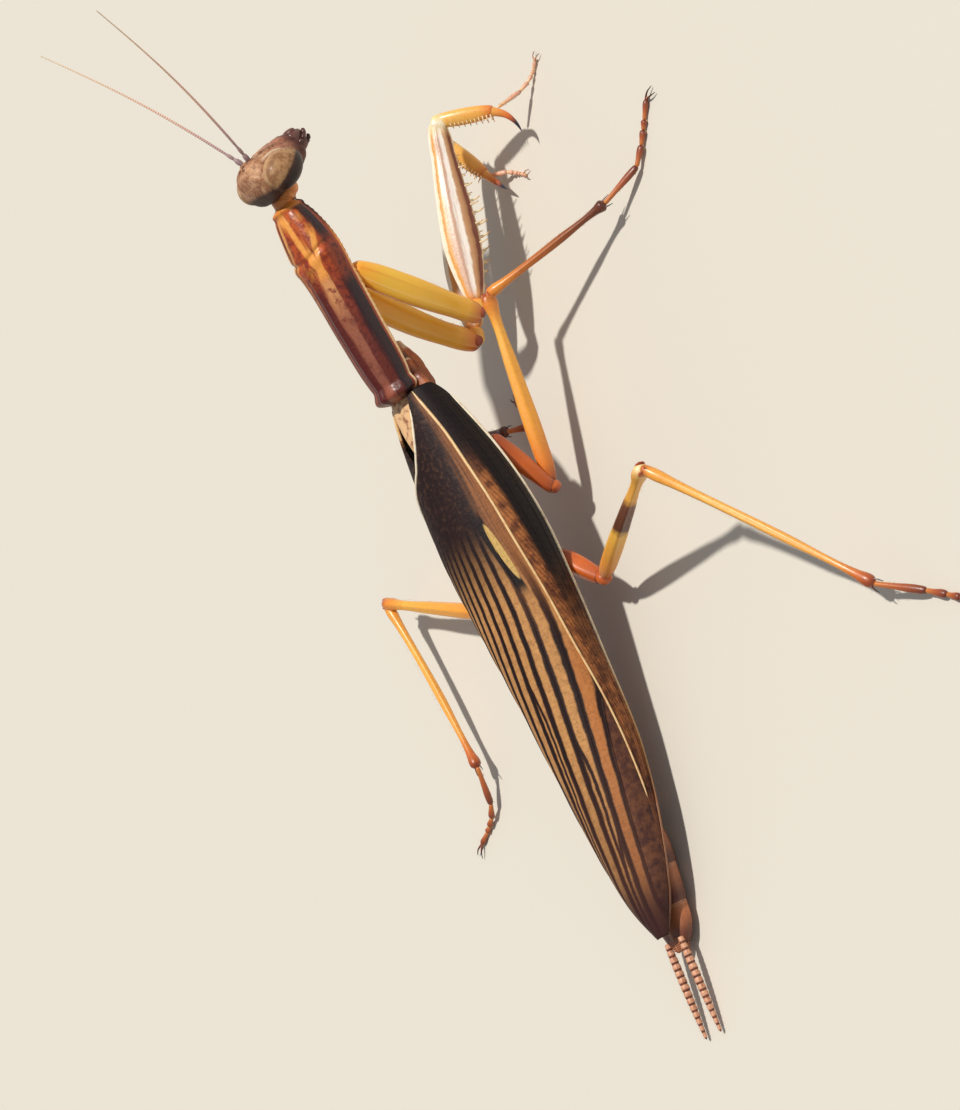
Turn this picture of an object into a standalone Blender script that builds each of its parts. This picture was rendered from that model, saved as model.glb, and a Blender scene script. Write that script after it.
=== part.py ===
"""Praying mantis (Tenodera type, brown form), life size, standing still with its forelegs reaching forward.

+X is forward, +Y is the insect's left and +Z is up. The floor is z = 0. Lengths are in mm until the meshes
are made, where MM turns them into metres. Points are given on the floor plan, or in one of three frames:
BODY (thorax, wings and abdomen), CHEST (the long prothorax) and FACE (the head).
"""

import math

import bmesh
import bpy
from mathutils import Matrix, Vector

MM = 0.001
GAP = 0.3  # air between neighbouring solids
SIDES = 10  # corners of a section through a limb
BODY_SIDES = 20  # corners of a section through the trunk
CENTRE_X, CENTRE_Y = -12.45, -13.33  # middle of the bounding box on the floor plan

# Stance
THORAX_PLACE = (1.4, 0.2, 16.3)  # middle of the pronotum's rear edge
BODY_PITCH = 12.8
BODY_YAW = 4.2
CHEST_PITCH = 25.5
CHEST_YAW = -2.0

# Trunk
CHEST_LENGTH = 21.6
THORAX_LENGTH = 23.0
ABDOMEN_LENGTH = 35.6
ABDOMEN_BEND = 0.45  # how far its tip is turned to the left
WING_LENGTH = 57.5
WING_HALF_WIDTH = 6.5
WING_ARCH = 4.8  # height of the wing roof above its widest line
WING_THICKNESS = 0.5
WING_STEP = WING_THICKNESS + 0.4  # from one wing layer to the next
CERCUS_LENGTH = 8.6
CERCUS_FALL = 0.16  # drop for each unit backward

# Head
EYE_SPACING = 5.6  # centre to centre
EYE_HALF_HEIGHT = 2.65
EYE_HALF_DEPTH = 1.95
EYE_HALF_WIDTH = 1.65
ANTENNA_RADIUS = 0.27
ANTENNA_LENGTH = 22.25

# Legs: half-thicknesses
FORE_COXA_RADIUS = 1.4
FORE_FEMUR_DEEP = 1.9
FORE_FEMUR_THICK = 1.05
FORE_TIBIA_RADIUS = 0.8
SPINE_RADIUS = 0.42
SPINE_TIP = 0.25
COXA_RADIUS = 1.0
FEMUR_RADIUS = 0.8
KNEE_RADIUS = 0.85
TIBIA_RADIUS = 0.48
TARSUS_RADIUS = 0.36
CLAW_RADIUS = 0.27

# Leg joints on the floor plan. The walking legs: coxa root, coxa tip, knee, ankle, heel, toe, claw tip.
WALKING_LEGS = {
    "mid_right": [
        (-5.4, -4.3, 9.6), (-10.3, -5.0, 4.8), (9.1, -7.2, 9.1), (13.3, -20.0, 2.5),
        (15.5, -23.7, 0.7), (21.0, -26.9, 0.3), (21.6, -28.6, 0.25),
    ],
    "mid_left": [
        (-5.6, 3.9, 9.6), (-8.8, 5.0, 5.8), (3.2, 17.8, 4.3), (-1.0, 3.4, 2.5),
        (-1.2, 1.9, 0.8), (2.3, 3.8, 0.3), (3.5, 4.4, 0.25),
    ],
    "hind_right": [
        (-17.4, -5.2, 5.8), (-20.6, -8.1, 3.9), (-17.0, -28.1, 12.4), (-33.6, -43.2, 2.5),
        (-35.7, -47.3, 0.8), (-39.0, -53.4, 0.3), (-39.8, -55.0, 0.25),
    ],
    "hind_left": [
        (-16.8, 3.8, 5.8), (-18.8, 7.4, 4.6), (-10.5, 28.0, 4.4), (-30.6, 20.8, 2.6),
        (-35.0, 22.6, 0.8), (-37.2, 26.2, 0.3), (-38.6, 27.3, 0.25),
    ],
}
# The grasping legs: coxa root, coxa tip, knee, tibia end, hook tip, tarsus bend, toe, claw tip.
GRASPING_LEGS = {
    "fore_right": [
        (13.5, -3.3, 19.2), (9.2, -2.4, 7.0), (29.4, -4.1, 8.1), (28.6, -8.8, 4.2),
        (25.9, -9.8, 2.3), (30.7, -10.3, 1.0), (32.2, -11.4, 0.3), (33.6, -12.6, 0.25),
    ],
    "fore_left": [
        (13.6, 2.6, 19.1), (7.9, 1.6, 5.1), (28.7, -0.9, 5.3), (24.6, -2.2, 2.0),
        (22.1, -4.4, 1.6), (24.0, -4.4, 0.75), (23.2, -5.4, 0.3), (22.7, -6.9, 0.25),
    ],
}
FEMUR_DEEP_WAY = Vector((-0.22, -0.54, -0.81))  # the way the grasping femora carry their spines

BROWN = (0.19, 0.085, 0.03)
DARK_BROWN = (0.06, 0.025, 0.012)
OLIVE = (0.20, 0.15, 0.06)
TAN = (0.42, 0.26, 0.12)
GOLD = (0.62, 0.30, 0.06)
ORANGE = (0.55, 0.20, 0.03)
CREAM = (0.70, 0.52, 0.32)
GREY = (0.25, 0.19, 0.17)


def clear_scene():
    for obj in list(bpy.data.objects):
        bpy.data.objects.remove(obj, do_unlink=True)


def new_collection(name):
    collection = bpy.data.collections.new(name)
    bpy.context.scene.collection.children.link(collection)
    return collection


def new_material(name, colour):
    material = bpy.data.materials.new(name)
    material.use_nodes = True
    shader = material.node_tree.nodes["Principled BSDF"]
    shader.inputs["Base Color"].default_value = (*colour, 1.0)
    shader.inputs["Roughness"].default_value = 0.45
    return material


def frame_at(origin, pitch, yaw):
    """A frame whose x axis points forward, raised by pitch and turned left by yaw, in degrees."""
    turn = Matrix.Rotation(math.radians(yaw), 4, "Z") @ Matrix.Rotation(math.radians(-pitch), 4, "Y")
    return Matrix.Translation(Vector(origin)) @ turn


def frame_of(origin, forward, left, up):
    """A frame given by its three axes."""
    turn = Matrix((forward, left, up)).transposed().to_4x4()
    return Matrix.Translation(Vector(origin)) @ turn


BODY = frame_at(THORAX_PLACE, BODY_PITCH, BODY_YAW)
CHEST = frame_at(BODY @ Vector((0.0, 0.0, 0.2)), CHEST_PITCH, CHEST_YAW)
FACE_FORWARD = Vector((0.680, -0.076, 0.729)).normalized()
FACE_LEFT = Vector((0.171, 0.985, -0.059)).normalized()
FACE_LEFT = (FACE_LEFT - FACE_LEFT.dot(FACE_FORWARD) * FACE_FORWARD).normalized()
FACE_UP = FACE_FORWARD.cross(FACE_LEFT)
FACE = frame_of(CHEST @ Vector((CHEST_LENGTH + 3.35, -1.0, -0.05)), FACE_FORWARD, FACE_LEFT, FACE_UP)


def section(centre, side, up, half_width, half_height, sides=SIDES, power=2.0):
    """A closed ring of points; a power over 2 squares its shoulders."""
    ring = []
    for i in range(sides):
        angle = 2.0 * math.pi * (i + 0.5) / sides
        c, s = math.cos(angle), math.sin(angle)
        across = math.copysign(abs(c) ** (2.0 / power), c) * half_width
        along = math.copysign(abs(s) ** (2.0 / power), s) * half_height
        ring.append(centre + across * side + along * up)
    return ring


def add_loft(mesh, rings):
    """Joins the rings by quads and closes both ends, with the faces pointing out."""
    loops = [[mesh.verts.new((p - Vector((CENTRE_X, CENTRE_Y, 0.0))) * MM) for p in ring] for ring in rings]
    count = len(rings[0])
    for first, second in zip(loops, loops[1:]):
        for i in range(count):
            j = (i + 1) % count
            mesh.faces.new((first[i], first[j], second[j], second[i]))
    mesh.faces.new(list(reversed(loops[0])))
    mesh.faces.new(loops[-1])


def object_of(name, lofts, collection, material=None):
    mesh = bmesh.new()
    for rings in lofts:
        add_loft(mesh, rings)
    bmesh.ops.recalc_face_normals(mesh, faces=mesh.faces)
    data = bpy.data.meshes.new(name)
    mesh.to_mesh(data)
    mesh.free()
    obj = bpy.data.objects.new(name, data)
    collection.objects.link(obj)
    if material:
        data.materials.append(material)
    return obj


def solid(name, rings, colour, extras=(), cuts=()):
    """One named node: a loft, with extra lofts joined to it and others cut away."""
    obj = object_of(name, [rings], PART, new_material(name, colour))
    for operation, pieces in (("UNION", extras), ("DIFFERENCE", cuts)):
        if not pieces:
            continue
        helper = object_of(f"{name}_{operation.lower()}", pieces, HELPERS)
        helper.hide_render = True
        helper.display_type = "WIRE"
        join = obj.modifiers.new(operation.title(), "BOOLEAN")
        join.operation = operation
        join.solver = "EXACT"
        join.use_self = operation == "UNION"
        join.object = helper
    return obj


def across(way, hint):
    """Two unit vectors square to a direction; the second is as near the hint as it can be."""
    side = way.cross(hint).normalized()
    return side, side.cross(way).normalized()


def rod(start, end, profile, hint=Vector((0.0, 0.0, 1.0)), sides=SIDES):
    """Rings along a straight limb. Each profile row: place from 0 to 1, half-width, half-height."""
    way = (end - start).normalized()
    side, up = across(way, hint)
    return [section(start.lerp(end, at), side, up, wide, high, sides) for at, wide, high in profile]


def bent_rod(points, radii, sides=SIDES, floor=False):
    """Rings along a bent limb, square to it at each point; on the floor its underside is flat."""
    rings = []
    for i, point in enumerate(points):
        before = points[max(i - 1, 0)]
        after = points[min(i + 1, len(points) - 1)]
        side, up = across((after - before).normalized(), Vector((0.0, 0.0, 1.0)))
        rings.append(section(point, side, up, radii[i], radii[i], sides))
    if floor:
        for ring in rings:
            for corner in ring:
                corner.z = max(corner.z, 0.0)
    return rings


def trunk(frame, rows, power=2.3, bend=lambda x: 0.0):
    """Rings along a frame's x axis. Each row: x, middle z, half-width, half-height; bend gives their middle y."""
    turn = frame.to_3x3()
    left, up = turn.col[1], turn.col[2]
    rings = []
    for x, z, wide, high in rows:
        rings.append(section(frame @ Vector((x, bend(x), z)), left, up, wide, high, BODY_SIDES, power))
    return rings


def mirrored(sign, point):
    return Vector((point[0], sign * point[1], point[2]))


# ---- Head ----

def face_rings(rows, offset=Vector((0.0, 0.0, 0.0)), sides=BODY_SIDES, power=2.3):
    """Rings down the head. Each row: height above the eyes' middle, forward shift, half-width, half-depth."""
    turn = FACE.to_3x3()
    forward, left = turn.col[0], turn.col[1]
    rings = []
    for height, shift, wide, deep in rows:
        centre = FACE @ (Vector((shift, 0.0, height)) + offset)
        rings.append(section(centre, left, forward, wide, deep, sides, power))
    return rings


def eye_rings(sign, grow):
    """A flattened egg on one side of the head."""
    centre = Vector((-0.45, sign * EYE_SPACING / 2.0, 0.4))
    turn = FACE.to_3x3()
    rings = []
    steps = 9
    for i in range(steps):
        angle = math.pi * (i + 0.5) / steps
        ring_scale = math.sin(angle)
        height = -math.cos(angle) * (EYE_HALF_HEIGHT + grow)
        place = FACE @ (centre + Vector((0.0, 0.0, height)))
        wide = (EYE_HALF_WIDTH + grow) * ring_scale
        deep = (EYE_HALF_DEPTH + grow) * ring_scale
        rings.append(section(place, turn.col[1], turn.col[0], wide, deep, 14))
    return rings


def skull_rings(grow):
    rows = [
        (2.75, -0.2, 1.2, 0.9), (2.4, -0.1, 2.1, 1.6), (1.4, 0.15, 2.75, 2.2), (0.0, 0.1, 2.75, 2.15),
        (-1.2, 0.15, 2.35, 2.0), (-2.4, -0.05, 1.75, 1.95), (-3.4, -0.1, 1.35, 1.75), (-4.2, -0.1, 1.1, 1.45),
    ]
    return face_rings([(height, shift, wide + grow, deep + grow) for height, shift, wide, deep in rows])


def build_head():
    solid("head", skull_rings(0.0), OLIVE, cuts=[eye_rings(side, GAP) for side in (-1, 1)])
    for side, name in ((1, "eye_left"), (-1, "eye_right")):
        solid(name, eye_rings(side, 0.0), TAN)
    jaws = face_rings([(-4.5, 0.2, 0.95, 0.95), (-5.4, 0.2, 0.9, 0.9), (-6.3, 0.2, 0.55, 0.6)], sides=12)
    palps = []
    for side in (-1, 1):
        path = [(-0.2, 0.6, -4.8), (-0.35, 1.2, -5.2), (-0.25, 1.15, -5.7), (0.1, 0.8, -6.2)]
        points = [FACE @ mirrored(side, p) for p in path]
        palps.append(bent_rod(points, (0.3, 0.28, 0.27, 0.26), sides=8))
    solid("mouthparts", jaws, DARK_BROWN, extras=palps)


def build_antenna(name, sign, outward, upward):
    """A scape, then a thread that leaves the face forward, outward and a little up, and droops at the end."""
    root = Vector((2.45 + GAP, sign * 0.6, 0.9))
    way = Vector((0.9, sign * outward, upward)).normalized()
    points = [FACE @ root]
    radii = [0.42]
    steps = 10
    for i in range(1, steps + 1):
        reach = ANTENNA_LENGTH * (i / steps) ** 1.15
        arch = -0.6 * math.sin(math.pi * i / steps)
        points.append(FACE @ (root + way * reach + Vector((0.0, 0.0, arch))))
        radii.append(0.34 if i == 1 else ANTENNA_RADIUS)
    solid(name, bent_rod(points, radii, sides=8), GREY)


def build_neck():
    back = CHEST @ Vector((CHEST_LENGTH + 0.4, -0.25, -0.3))
    front = CHEST @ Vector((CHEST_LENGTH + 2.3, -0.45, -0.35))
    disc = rod(back, front, [(0.0, 1.1, 1.0), (1.0, 0.95, 0.9)])
    solid("neck", disc, BROWN, cuts=[skull_rings(GAP)])


# ---- Trunk ----

def build_chest():
    length = CHEST_LENGTH
    rows = [
        (0.0, 0.25, 2.2, 1.4), (0.08 * length, 0.1, 2.45, 1.75), (0.35 * length, -0.15, 2.6, 2.15),
        (0.6 * length, -0.4, 2.75, 2.2), (0.74 * length, -0.45, 2.95, 2.25), (0.86 * length, -0.45, 2.6, 2.0),
        (0.96 * length, -0.35, 1.95, 1.5), (length, -0.3, 1.4, 1.1),
    ]
    solid("pronotum", trunk(CHEST, rows), ORANGE)


def build_thorax():
    rows = [
        (5.2, -2.3, 0.5, 0.5), (3.0, -2.8, 1.0, 1.0), (0.6, -2.95, 1.3, 1.1), (-0.8, -2.7, 1.6, 1.7),
        (-3.0, -3.4, 2.05, 2.4), (-6.0, -3.4, 2.5, 2.65), (-9.0, -3.1, 3.0, 2.8),
        (-16.0, -2.9, 3.3, 2.8), (-THORAX_LENGTH, -2.8, 3.3, 2.6),
    ]
    solid("thorax", trunk(BODY, rows), BROWN)


def abdomen_bend(x):
    behind = max(0.0, -x - THORAX_LENGTH) / ABDOMEN_LENGTH
    return ABDOMEN_BEND * behind ** 2


def build_abdomen():
    start = -THORAX_LENGTH - GAP
    rows = [
        (0.0, -2.7, 3.6, 2.6), (0.12, -2.8, 3.9, 2.7), (0.4, -3.0, 3.5, 2.4), (0.6, -3.2, 2.45, 1.9),
        (0.76, -3.45, 2.5, 1.35), (0.88, -2.7, 2.35, 1.3), (0.96, -2.4, 2.0, 1.0), (1.0, -2.15, 1.5, 0.8),
    ]
    placed = [(start - at * ABDOMEN_LENGTH, z, wide, high) for at, z, wide, high in rows]
    solid("abdomen", trunk(BODY, placed, bend=abdomen_bend), ORANGE)


def build_cercus(name, sign):
    x = -THORAX_LENGTH - ABDOMEN_LENGTH - 2.0 * GAP
    root = BODY @ Vector((x, abdomen_bend(x) + sign * 1.1, -1.35))
    backward = -Vector((math.cos(math.radians(BODY_YAW)), math.sin(math.radians(BODY_YAW)), CERCUS_FALL))
    way = (backward + Vector((0.0, sign * 0.01, 0.0))).normalized()
    rod_end = root + way * CERCUS_LENGTH
    solid(name, rod(root, rod_end, [(0.0, 0.38, 0.38), (0.3, 0.45, 0.45), (0.8, 0.36, 0.36), (1.0, 0.26, 0.26)]), CREAM)


def wing_size(at):
    """Scale of the wing roof and height of its widest line, from the root (0) to the tip (1)."""
    rows = [
        (0.0, 0.50, -1.1), (0.05, 0.62, -1.4), (0.15, 0.82, -2.0), (0.30, 0.96, -2.4), (0.40, 0.93, -2.5),
        (0.54, 0.86, -2.5), (0.70, 0.78, -2.3), (0.85, 0.61, -1.6), (0.94, 0.40, -0.9), (1.0, 0.12, -0.2),
    ]
    for (a, size_a, z_a), (b, size_b, z_b) in zip(rows, rows[1:]):
        if at <= b:
            blend = (at - a) / (b - a)
            return size_a + blend * (size_b - size_a), z_a + blend * (z_b - z_a)
    return rows[-1][1:]


def margin_angle(at):
    """How far round from the top the outer margin of a wing cover lies, in degrees."""
    return 118.0 - 23.0 * min(max((at - 0.7) / 0.22, 0.0), 1.0)


def wing_rings(layer, right_edge, left_edge, first=0.02, last=1.0, stations=15, corners=9):
    """Rings round a thin arched sheet. The edges are angles from the top, in degrees, right ones negative.

    An edge of None is the outer margin of a wing cover.
    """
    turn = BODY.to_3x3()
    inset = layer * WING_STEP
    rings = []
    for i in range(stations):
        at = first + (last - first) * (i / (stations - 1)) ** 0.9
        size, z = wing_size(min(at, 1.0))
        right = -margin_angle(at) if right_edge is None else right_edge
        left = margin_angle(at) if left_edge is None else left_edge
        ring = []
        for depth, order in ((inset, range(corners)), (inset + WING_THICKNESS, reversed(range(corners)))):
            wide = max(WING_HALF_WIDTH * size - depth, 0.35)
            high = max(WING_ARCH * size - depth, 0.1)
            for k in order:
                angle = math.radians(right + (left - right) * k / (corners - 1))
                drop = 0.55 * WING_ARCH * size * max(0.0, -math.cos(angle)) * 2.0
                y = wide * math.sin(angle)
                rise = high * max(math.cos(angle), 0.0) - drop
                ring.append(BODY @ Vector((-at * WING_LENGTH, y, z + rise)))
        rings.append(ring)
    return rings


def build_wings():
    solid("forewing_right", wing_rings(0, None, 62.0), BROWN)
    solid("forewing_left", wing_rings(1, 12.0, None, last=0.985), BROWN)
    solid("hindwings", wing_rings(2, -70.0, 60.0, first=0.8, last=0.97, stations=6), DARK_BROWN)


# ---- Legs ----

def start_past(joint, target, clearance):
    """A point on the way from a joint to the next, far enough along to clear the joint's knob."""
    return joint + (target - joint).normalized() * clearance


def folded_clearance(before, joint, after, knob, thickness):
    """How far past a joint a limb must start so that it clears both the knob and the limb before it."""
    angle = (before - joint).angle(after - joint)
    beside = thickness / math.sin(angle) if angle < math.pi / 2.0 else 0.0
    return max(knob, beside) + GAP


def tarsus_claws(toe, tip, radius):
    """Two small claws that part as they leave the toe."""
    way = (tip - toe).normalized()
    side, up = across(way, Vector((0.0, 0.0, 1.0)))
    claws = []
    for sign in (-1, 1):
        bend = toe.lerp(tip, 0.55) + side * sign * 0.42 + up * 0.25
        end = tip + side * sign * 0.62
        claws.append(bent_rod([toe - way * 0.15, bend, end], (radius, radius, radius * 0.95), sides=6, floor=True))
    return claws


def build_walking_leg(name, joints):
    root, hip, knee, ankle, heel, toe, tip = (Vector(joint) for joint in joints)
    coxa_end = hip
    coxa_profile = [(0.0, 0.8, 0.8), (0.25, COXA_RADIUS, COXA_RADIUS), (0.7, 0.9, 0.9), (1.0, 0.65, 0.65)]
    solid(f"coxa_{name}", rod(root, coxa_end, coxa_profile), ORANGE)

    femur_start = start_past(hip, knee, folded_clearance(root, hip, knee, 0.8, 1.6))
    femur_profile = [
        (0.0, 0.5, 0.55), (0.06, 0.75, 0.8), (0.2, FEMUR_RADIUS, 0.9), (0.6, 0.65, 0.75), (0.88, 0.55, 0.6),
        (0.96, 0.7, KNEE_RADIUS), (1.0, 0.55, 0.65), (1.03, 0.3, 0.35),
    ]
    solid(f"femur_{name}", rod(femur_start, knee, femur_profile), GOLD)

    tibia_start = start_past(knee, ankle, folded_clearance(hip, knee, ankle, 0.85, 1.2))
    tibia_profile = [
        (0.0, 0.4, 0.4), (0.06, 0.55, 0.55), (0.15, TIBIA_RADIUS, TIBIA_RADIUS), (0.9, 0.45, 0.45),
        (0.97, 0.62, 0.62), (1.0, 0.5, 0.5),
    ]
    solid(f"tibia_{name}", rod(tibia_start, ankle, tibia_profile), GOLD)

    foot_start = start_past(ankle, heel, 0.85)
    path = [foot_start, ankle.lerp(heel, 0.5), heel, heel.lerp(toe, 0.5), toe, toe.lerp(tip, 0.35)]
    path[3].z = 0.3
    radii = (0.34, TARSUS_RADIUS, 0.38, TARSUS_RADIUS, 0.36, 0.28)
    rings = bent_rod(path, radii, sides=8, floor=True)
    solid(f"tarsus_{name}", rings, BROWN, extras=tarsus_claws(toe, tip, CLAW_RADIUS))


def spines_along(start, end, profile_half, way, count, first, last, length):
    """Short spines in a row on one edge of a limb, leaning toward its tip."""
    axis = (end - start).normalized()
    spines = []
    for i in range(count):
        at = first + (last - first) * i / (count - 1)
        long_one = 1.0 if i % 2 == 0 else 0.72
        foot = start.lerp(end, at) + way * (profile_half - 0.5)
        top = foot + (way + 0.25 * axis).normalized() * (length * long_one + 0.5)
        spines.append(rod(foot, top, [(0.0, SPINE_RADIUS, SPINE_RADIUS), (1.0, SPINE_TIP, SPINE_TIP)], axis, 6))
    return spines


def build_grasping_leg(name, joints):
    root, hip, knee, wrist, hook, bend, toe, tip = (Vector(joint) for joint in joints)
    coxa_profile = [
        (0.0, 0.6, 0.6), (0.08, 1.15, 1.15), (0.25, 1.25, FORE_COXA_RADIUS), (0.7, 1.05, 1.2),
        (0.92, 0.95, 1.1), (1.0, 0.7, 0.8),
    ]
    solid(f"coxa_{name}", rod(root, hip, coxa_profile), GOLD)

    femur_start = start_past(hip, knee, 1.95)
    deep, thick = FORE_FEMUR_DEEP, FORE_FEMUR_THICK
    femur_profile = [
        (0.0, 0.6, 0.7), (0.05, 0.8, 1.1), (0.25, thick, deep), (0.5, thick, deep * 0.95),
        (0.8, 0.85, 1.25), (0.93, 0.85, 1.05), (1.0, 0.6, 0.65),
    ]
    side, down = across((knee - hip).normalized(), FEMUR_DEEP_WAY)
    spines = spines_along(femur_start, knee, deep * 0.85, down, 9, 0.18, 0.66, 1.6)
    femur = rod(femur_start, knee, femur_profile, FEMUR_DEEP_WAY)
    solid(f"femur_{name}", femur, CREAM, extras=spines)

    tibia_start = start_past(knee, wrist, folded_clearance(hip, knee, wrist, 1.9, 1.9))
    tibia = rod(tibia_start, wrist, [(0.0, 0.5, 0.5), (0.12, 0.75, FORE_TIBIA_RADIUS), (0.85, 0.65, 0.7), (1.0, 0.5, 0.5)])
    inner = (hook - wrist).normalized()
    claw = bent_rod([wrist.lerp(knee, 0.12), wrist.lerp(hook, 0.45), hook], (0.55, 0.45, 0.26), sides=8)
    back = (hip - knee).normalized()
    tibia_side, tibia_in = across((wrist - knee).normalized(), back)
    small = spines_along(tibia_start, wrist, 0.7, tibia_in, 5, 0.2, 0.85, 0.9)
    solid(f"tibia_{name}", tibia, CREAM, extras=[claw, *small])

    foot_start = start_past(wrist, bend, 1.3)
    path = [foot_start, bend, bend.lerp(toe, 0.5), toe, toe.lerp(tip, 0.6)]
    radii = (0.32, 0.34, 0.34, 0.34, 0.27)
    rings = bent_rod(path, radii, sides=8, floor=True)
    solid(f"tarsus_{name}", rings, TAN, extras=tarsus_claws(toe.lerp(tip, 0.4), tip, CLAW_RADIUS))


clear_scene()
PART = new_collection("praying_mantis")
HELPERS = new_collection("helpers")
build_head()
build_antenna("antenna_left", 1, 0.37, 0.075)
build_antenna("antenna_right", -1, 0.28, 0.14)
build_neck()
build_chest()
build_thorax()
build_abdomen()
build_cercus("cercus_left", 1)
build_cercus("cercus_right", -1)
build_wings()
for leg_name, leg_joints in WALKING_LEGS.items():
    build_walking_leg(leg_name, leg_joints)
for leg_name, leg_joints in GRASPING_LEGS.items():
    build_grasping_leg(leg_name, leg_joints)
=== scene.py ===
"""Looks of the praying mantis: fine shells, faceted eyes, veined wings, spines and hairs over the solids.

Lengths are in mm on the floor plan of the CAD source, whose stance and joints are repeated here.
CENTRE and MM turn them into the frame's metres. +X is forward, +Y is the insect's left and +Z is up.
"""

import math

import bpy
import numpy as np
from mathutils import Matrix, Vector


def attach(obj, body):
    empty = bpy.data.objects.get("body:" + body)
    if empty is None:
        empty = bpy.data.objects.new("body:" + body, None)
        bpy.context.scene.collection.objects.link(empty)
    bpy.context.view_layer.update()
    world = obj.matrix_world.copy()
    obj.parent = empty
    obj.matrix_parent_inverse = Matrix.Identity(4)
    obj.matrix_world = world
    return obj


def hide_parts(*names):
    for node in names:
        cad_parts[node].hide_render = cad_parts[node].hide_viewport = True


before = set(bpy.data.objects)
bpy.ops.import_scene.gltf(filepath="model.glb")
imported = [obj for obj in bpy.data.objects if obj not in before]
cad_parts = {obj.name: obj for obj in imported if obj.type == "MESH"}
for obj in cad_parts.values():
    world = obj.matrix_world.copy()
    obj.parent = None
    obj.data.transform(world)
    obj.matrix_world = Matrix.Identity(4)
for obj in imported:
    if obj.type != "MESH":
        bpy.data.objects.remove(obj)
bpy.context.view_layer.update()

MM = 0.001
CENTRE = np.array((-12.45, -13.33, 0.0))  # middle of the bounding box on the floor plan
UP = np.array((0.0, 0.0, 1.0))

# Stance, as in the CAD source
THORAX_PLACE = (1.4, 0.2, 16.3)
BODY_PITCH = 12.8
BODY_YAW = 4.2
CHEST_PITCH = 25.5
CHEST_YAW = -2.0
CHEST_LENGTH = 21.6
THORAX_LENGTH = 23.0
ABDOMEN_LENGTH = 35.6
ABDOMEN_BEND = 0.45
WING_LENGTH = 57.5
WING_HALF_WIDTH = 6.5
WING_ARCH = 4.8
WING_SHEET = 0.22  # thickness of a wing cover here; the solid is thicker
CERCUS_LENGTH = 8.6
CERCUS_FALL = 0.16  # drop for each unit backward
CERCUS_BEADS = 14
EYE_PLACE = (-0.1, 2.75, 0.15)
EYE_HALF = (1.8, 1.6, 2.4)  # depth, width, height
ANTENNA_LENGTH = 22.25
ANTENNA_RINGS = 90
ABDOMEN_RINGS = 10
SQUARENESS = 2.3  # of the head and trunk; 2 would make them plain ellipses
FIELD_DEGREES = 60.0  # of a wing cover, for one unit of the marks inside its radius

WALKING_LEGS = {
    "mid_right": [
        (-5.4, -4.3, 9.6), (-10.3, -5.0, 4.8), (9.1, -7.2, 9.1), (13.3, -20.0, 2.5),
        (15.5, -23.7, 0.7), (21.0, -26.9, 0.3), (21.6, -28.6, 0.25),
    ],
    "mid_left": [
        (-5.6, 3.9, 9.6), (-8.8, 5.0, 5.8), (3.2, 17.8, 4.3), (-1.0, 3.4, 2.5),
        (-1.2, 1.9, 0.8), (2.3, 3.8, 0.3), (3.5, 4.4, 0.25),
    ],
    "hind_right": [
        (-17.4, -5.2, 5.8), (-20.6, -8.1, 3.9), (-17.0, -28.1, 12.4), (-33.6, -43.2, 2.5),
        (-35.7, -47.3, 0.8), (-39.0, -53.4, 0.3), (-39.8, -55.0, 0.25),
    ],
    "hind_left": [
        (-16.8, 3.8, 5.8), (-18.8, 7.4, 4.6), (-10.5, 28.0, 4.4), (-30.6, 20.8, 2.6),
        (-35.0, 22.6, 0.8), (-37.2, 26.2, 0.3), (-38.6, 27.3, 0.25),
    ],
}
GRASPING_LEGS = {
    "fore_right": [
        (13.5, -3.3, 19.2), (9.2, -2.4, 7.0), (29.4, -4.1, 8.1), (28.6, -8.8, 4.2),
        (25.9, -9.8, 2.3), (30.7, -10.3, 1.0), (32.2, -11.4, 0.3), (33.6, -12.6, 0.25),
    ],
    "fore_left": [
        (13.6, 2.6, 19.1), (7.9, 1.6, 5.1), (28.7, -0.9, 5.3), (24.6, -2.2, 2.0),
        (22.1, -4.4, 1.6), (24.0, -4.4, 0.75), (23.2, -5.4, 0.3), (22.7, -6.9, 0.25),
    ],
}
FEMUR_DEEP_WAY = np.array((-0.22, -0.54, -0.81))  # the way the grasping femora carry their spines


def unit(vectors):
    vectors = np.asarray(vectors, float)
    return vectors / np.linalg.norm(vectors, axis=-1, keepdims=True)


class Axes:
    """A place and three axes: forward, left and up."""

    def __init__(self, origin, forward, left):
        self.origin = np.array(origin, float)
        self.forward = unit(forward)
        left = np.array(left, float)
        self.left = unit(left - (left @ self.forward) * self.forward)
        self.up = np.cross(self.forward, self.left)

    def at(self, x, y, z):
        """The floor-plan point or points at these places along the axes."""
        along = np.multiply.outer(x, self.forward) + np.multiply.outer(y, self.left)
        return self.origin + along + np.multiply.outer(z, self.up)


def turned(origin, pitch, yaw):
    pitch, yaw = math.radians(pitch), math.radians(yaw)
    forward = (math.cos(pitch) * math.cos(yaw), math.cos(pitch) * math.sin(yaw), math.sin(pitch))
    return Axes(origin, forward, (-math.sin(yaw), math.cos(yaw), 0.0))


BODY = turned(THORAX_PLACE, BODY_PITCH, BODY_YAW)
CHEST = turned(BODY.at(0.0, 0.0, 0.2), CHEST_PITCH, CHEST_YAW)
FACE = Axes(CHEST.at(CHEST_LENGTH + 3.35, -1.0, -0.05), (0.680, -0.076, 0.729), (0.171, 0.985, -0.059))


# ---- Shapes ----

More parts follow.
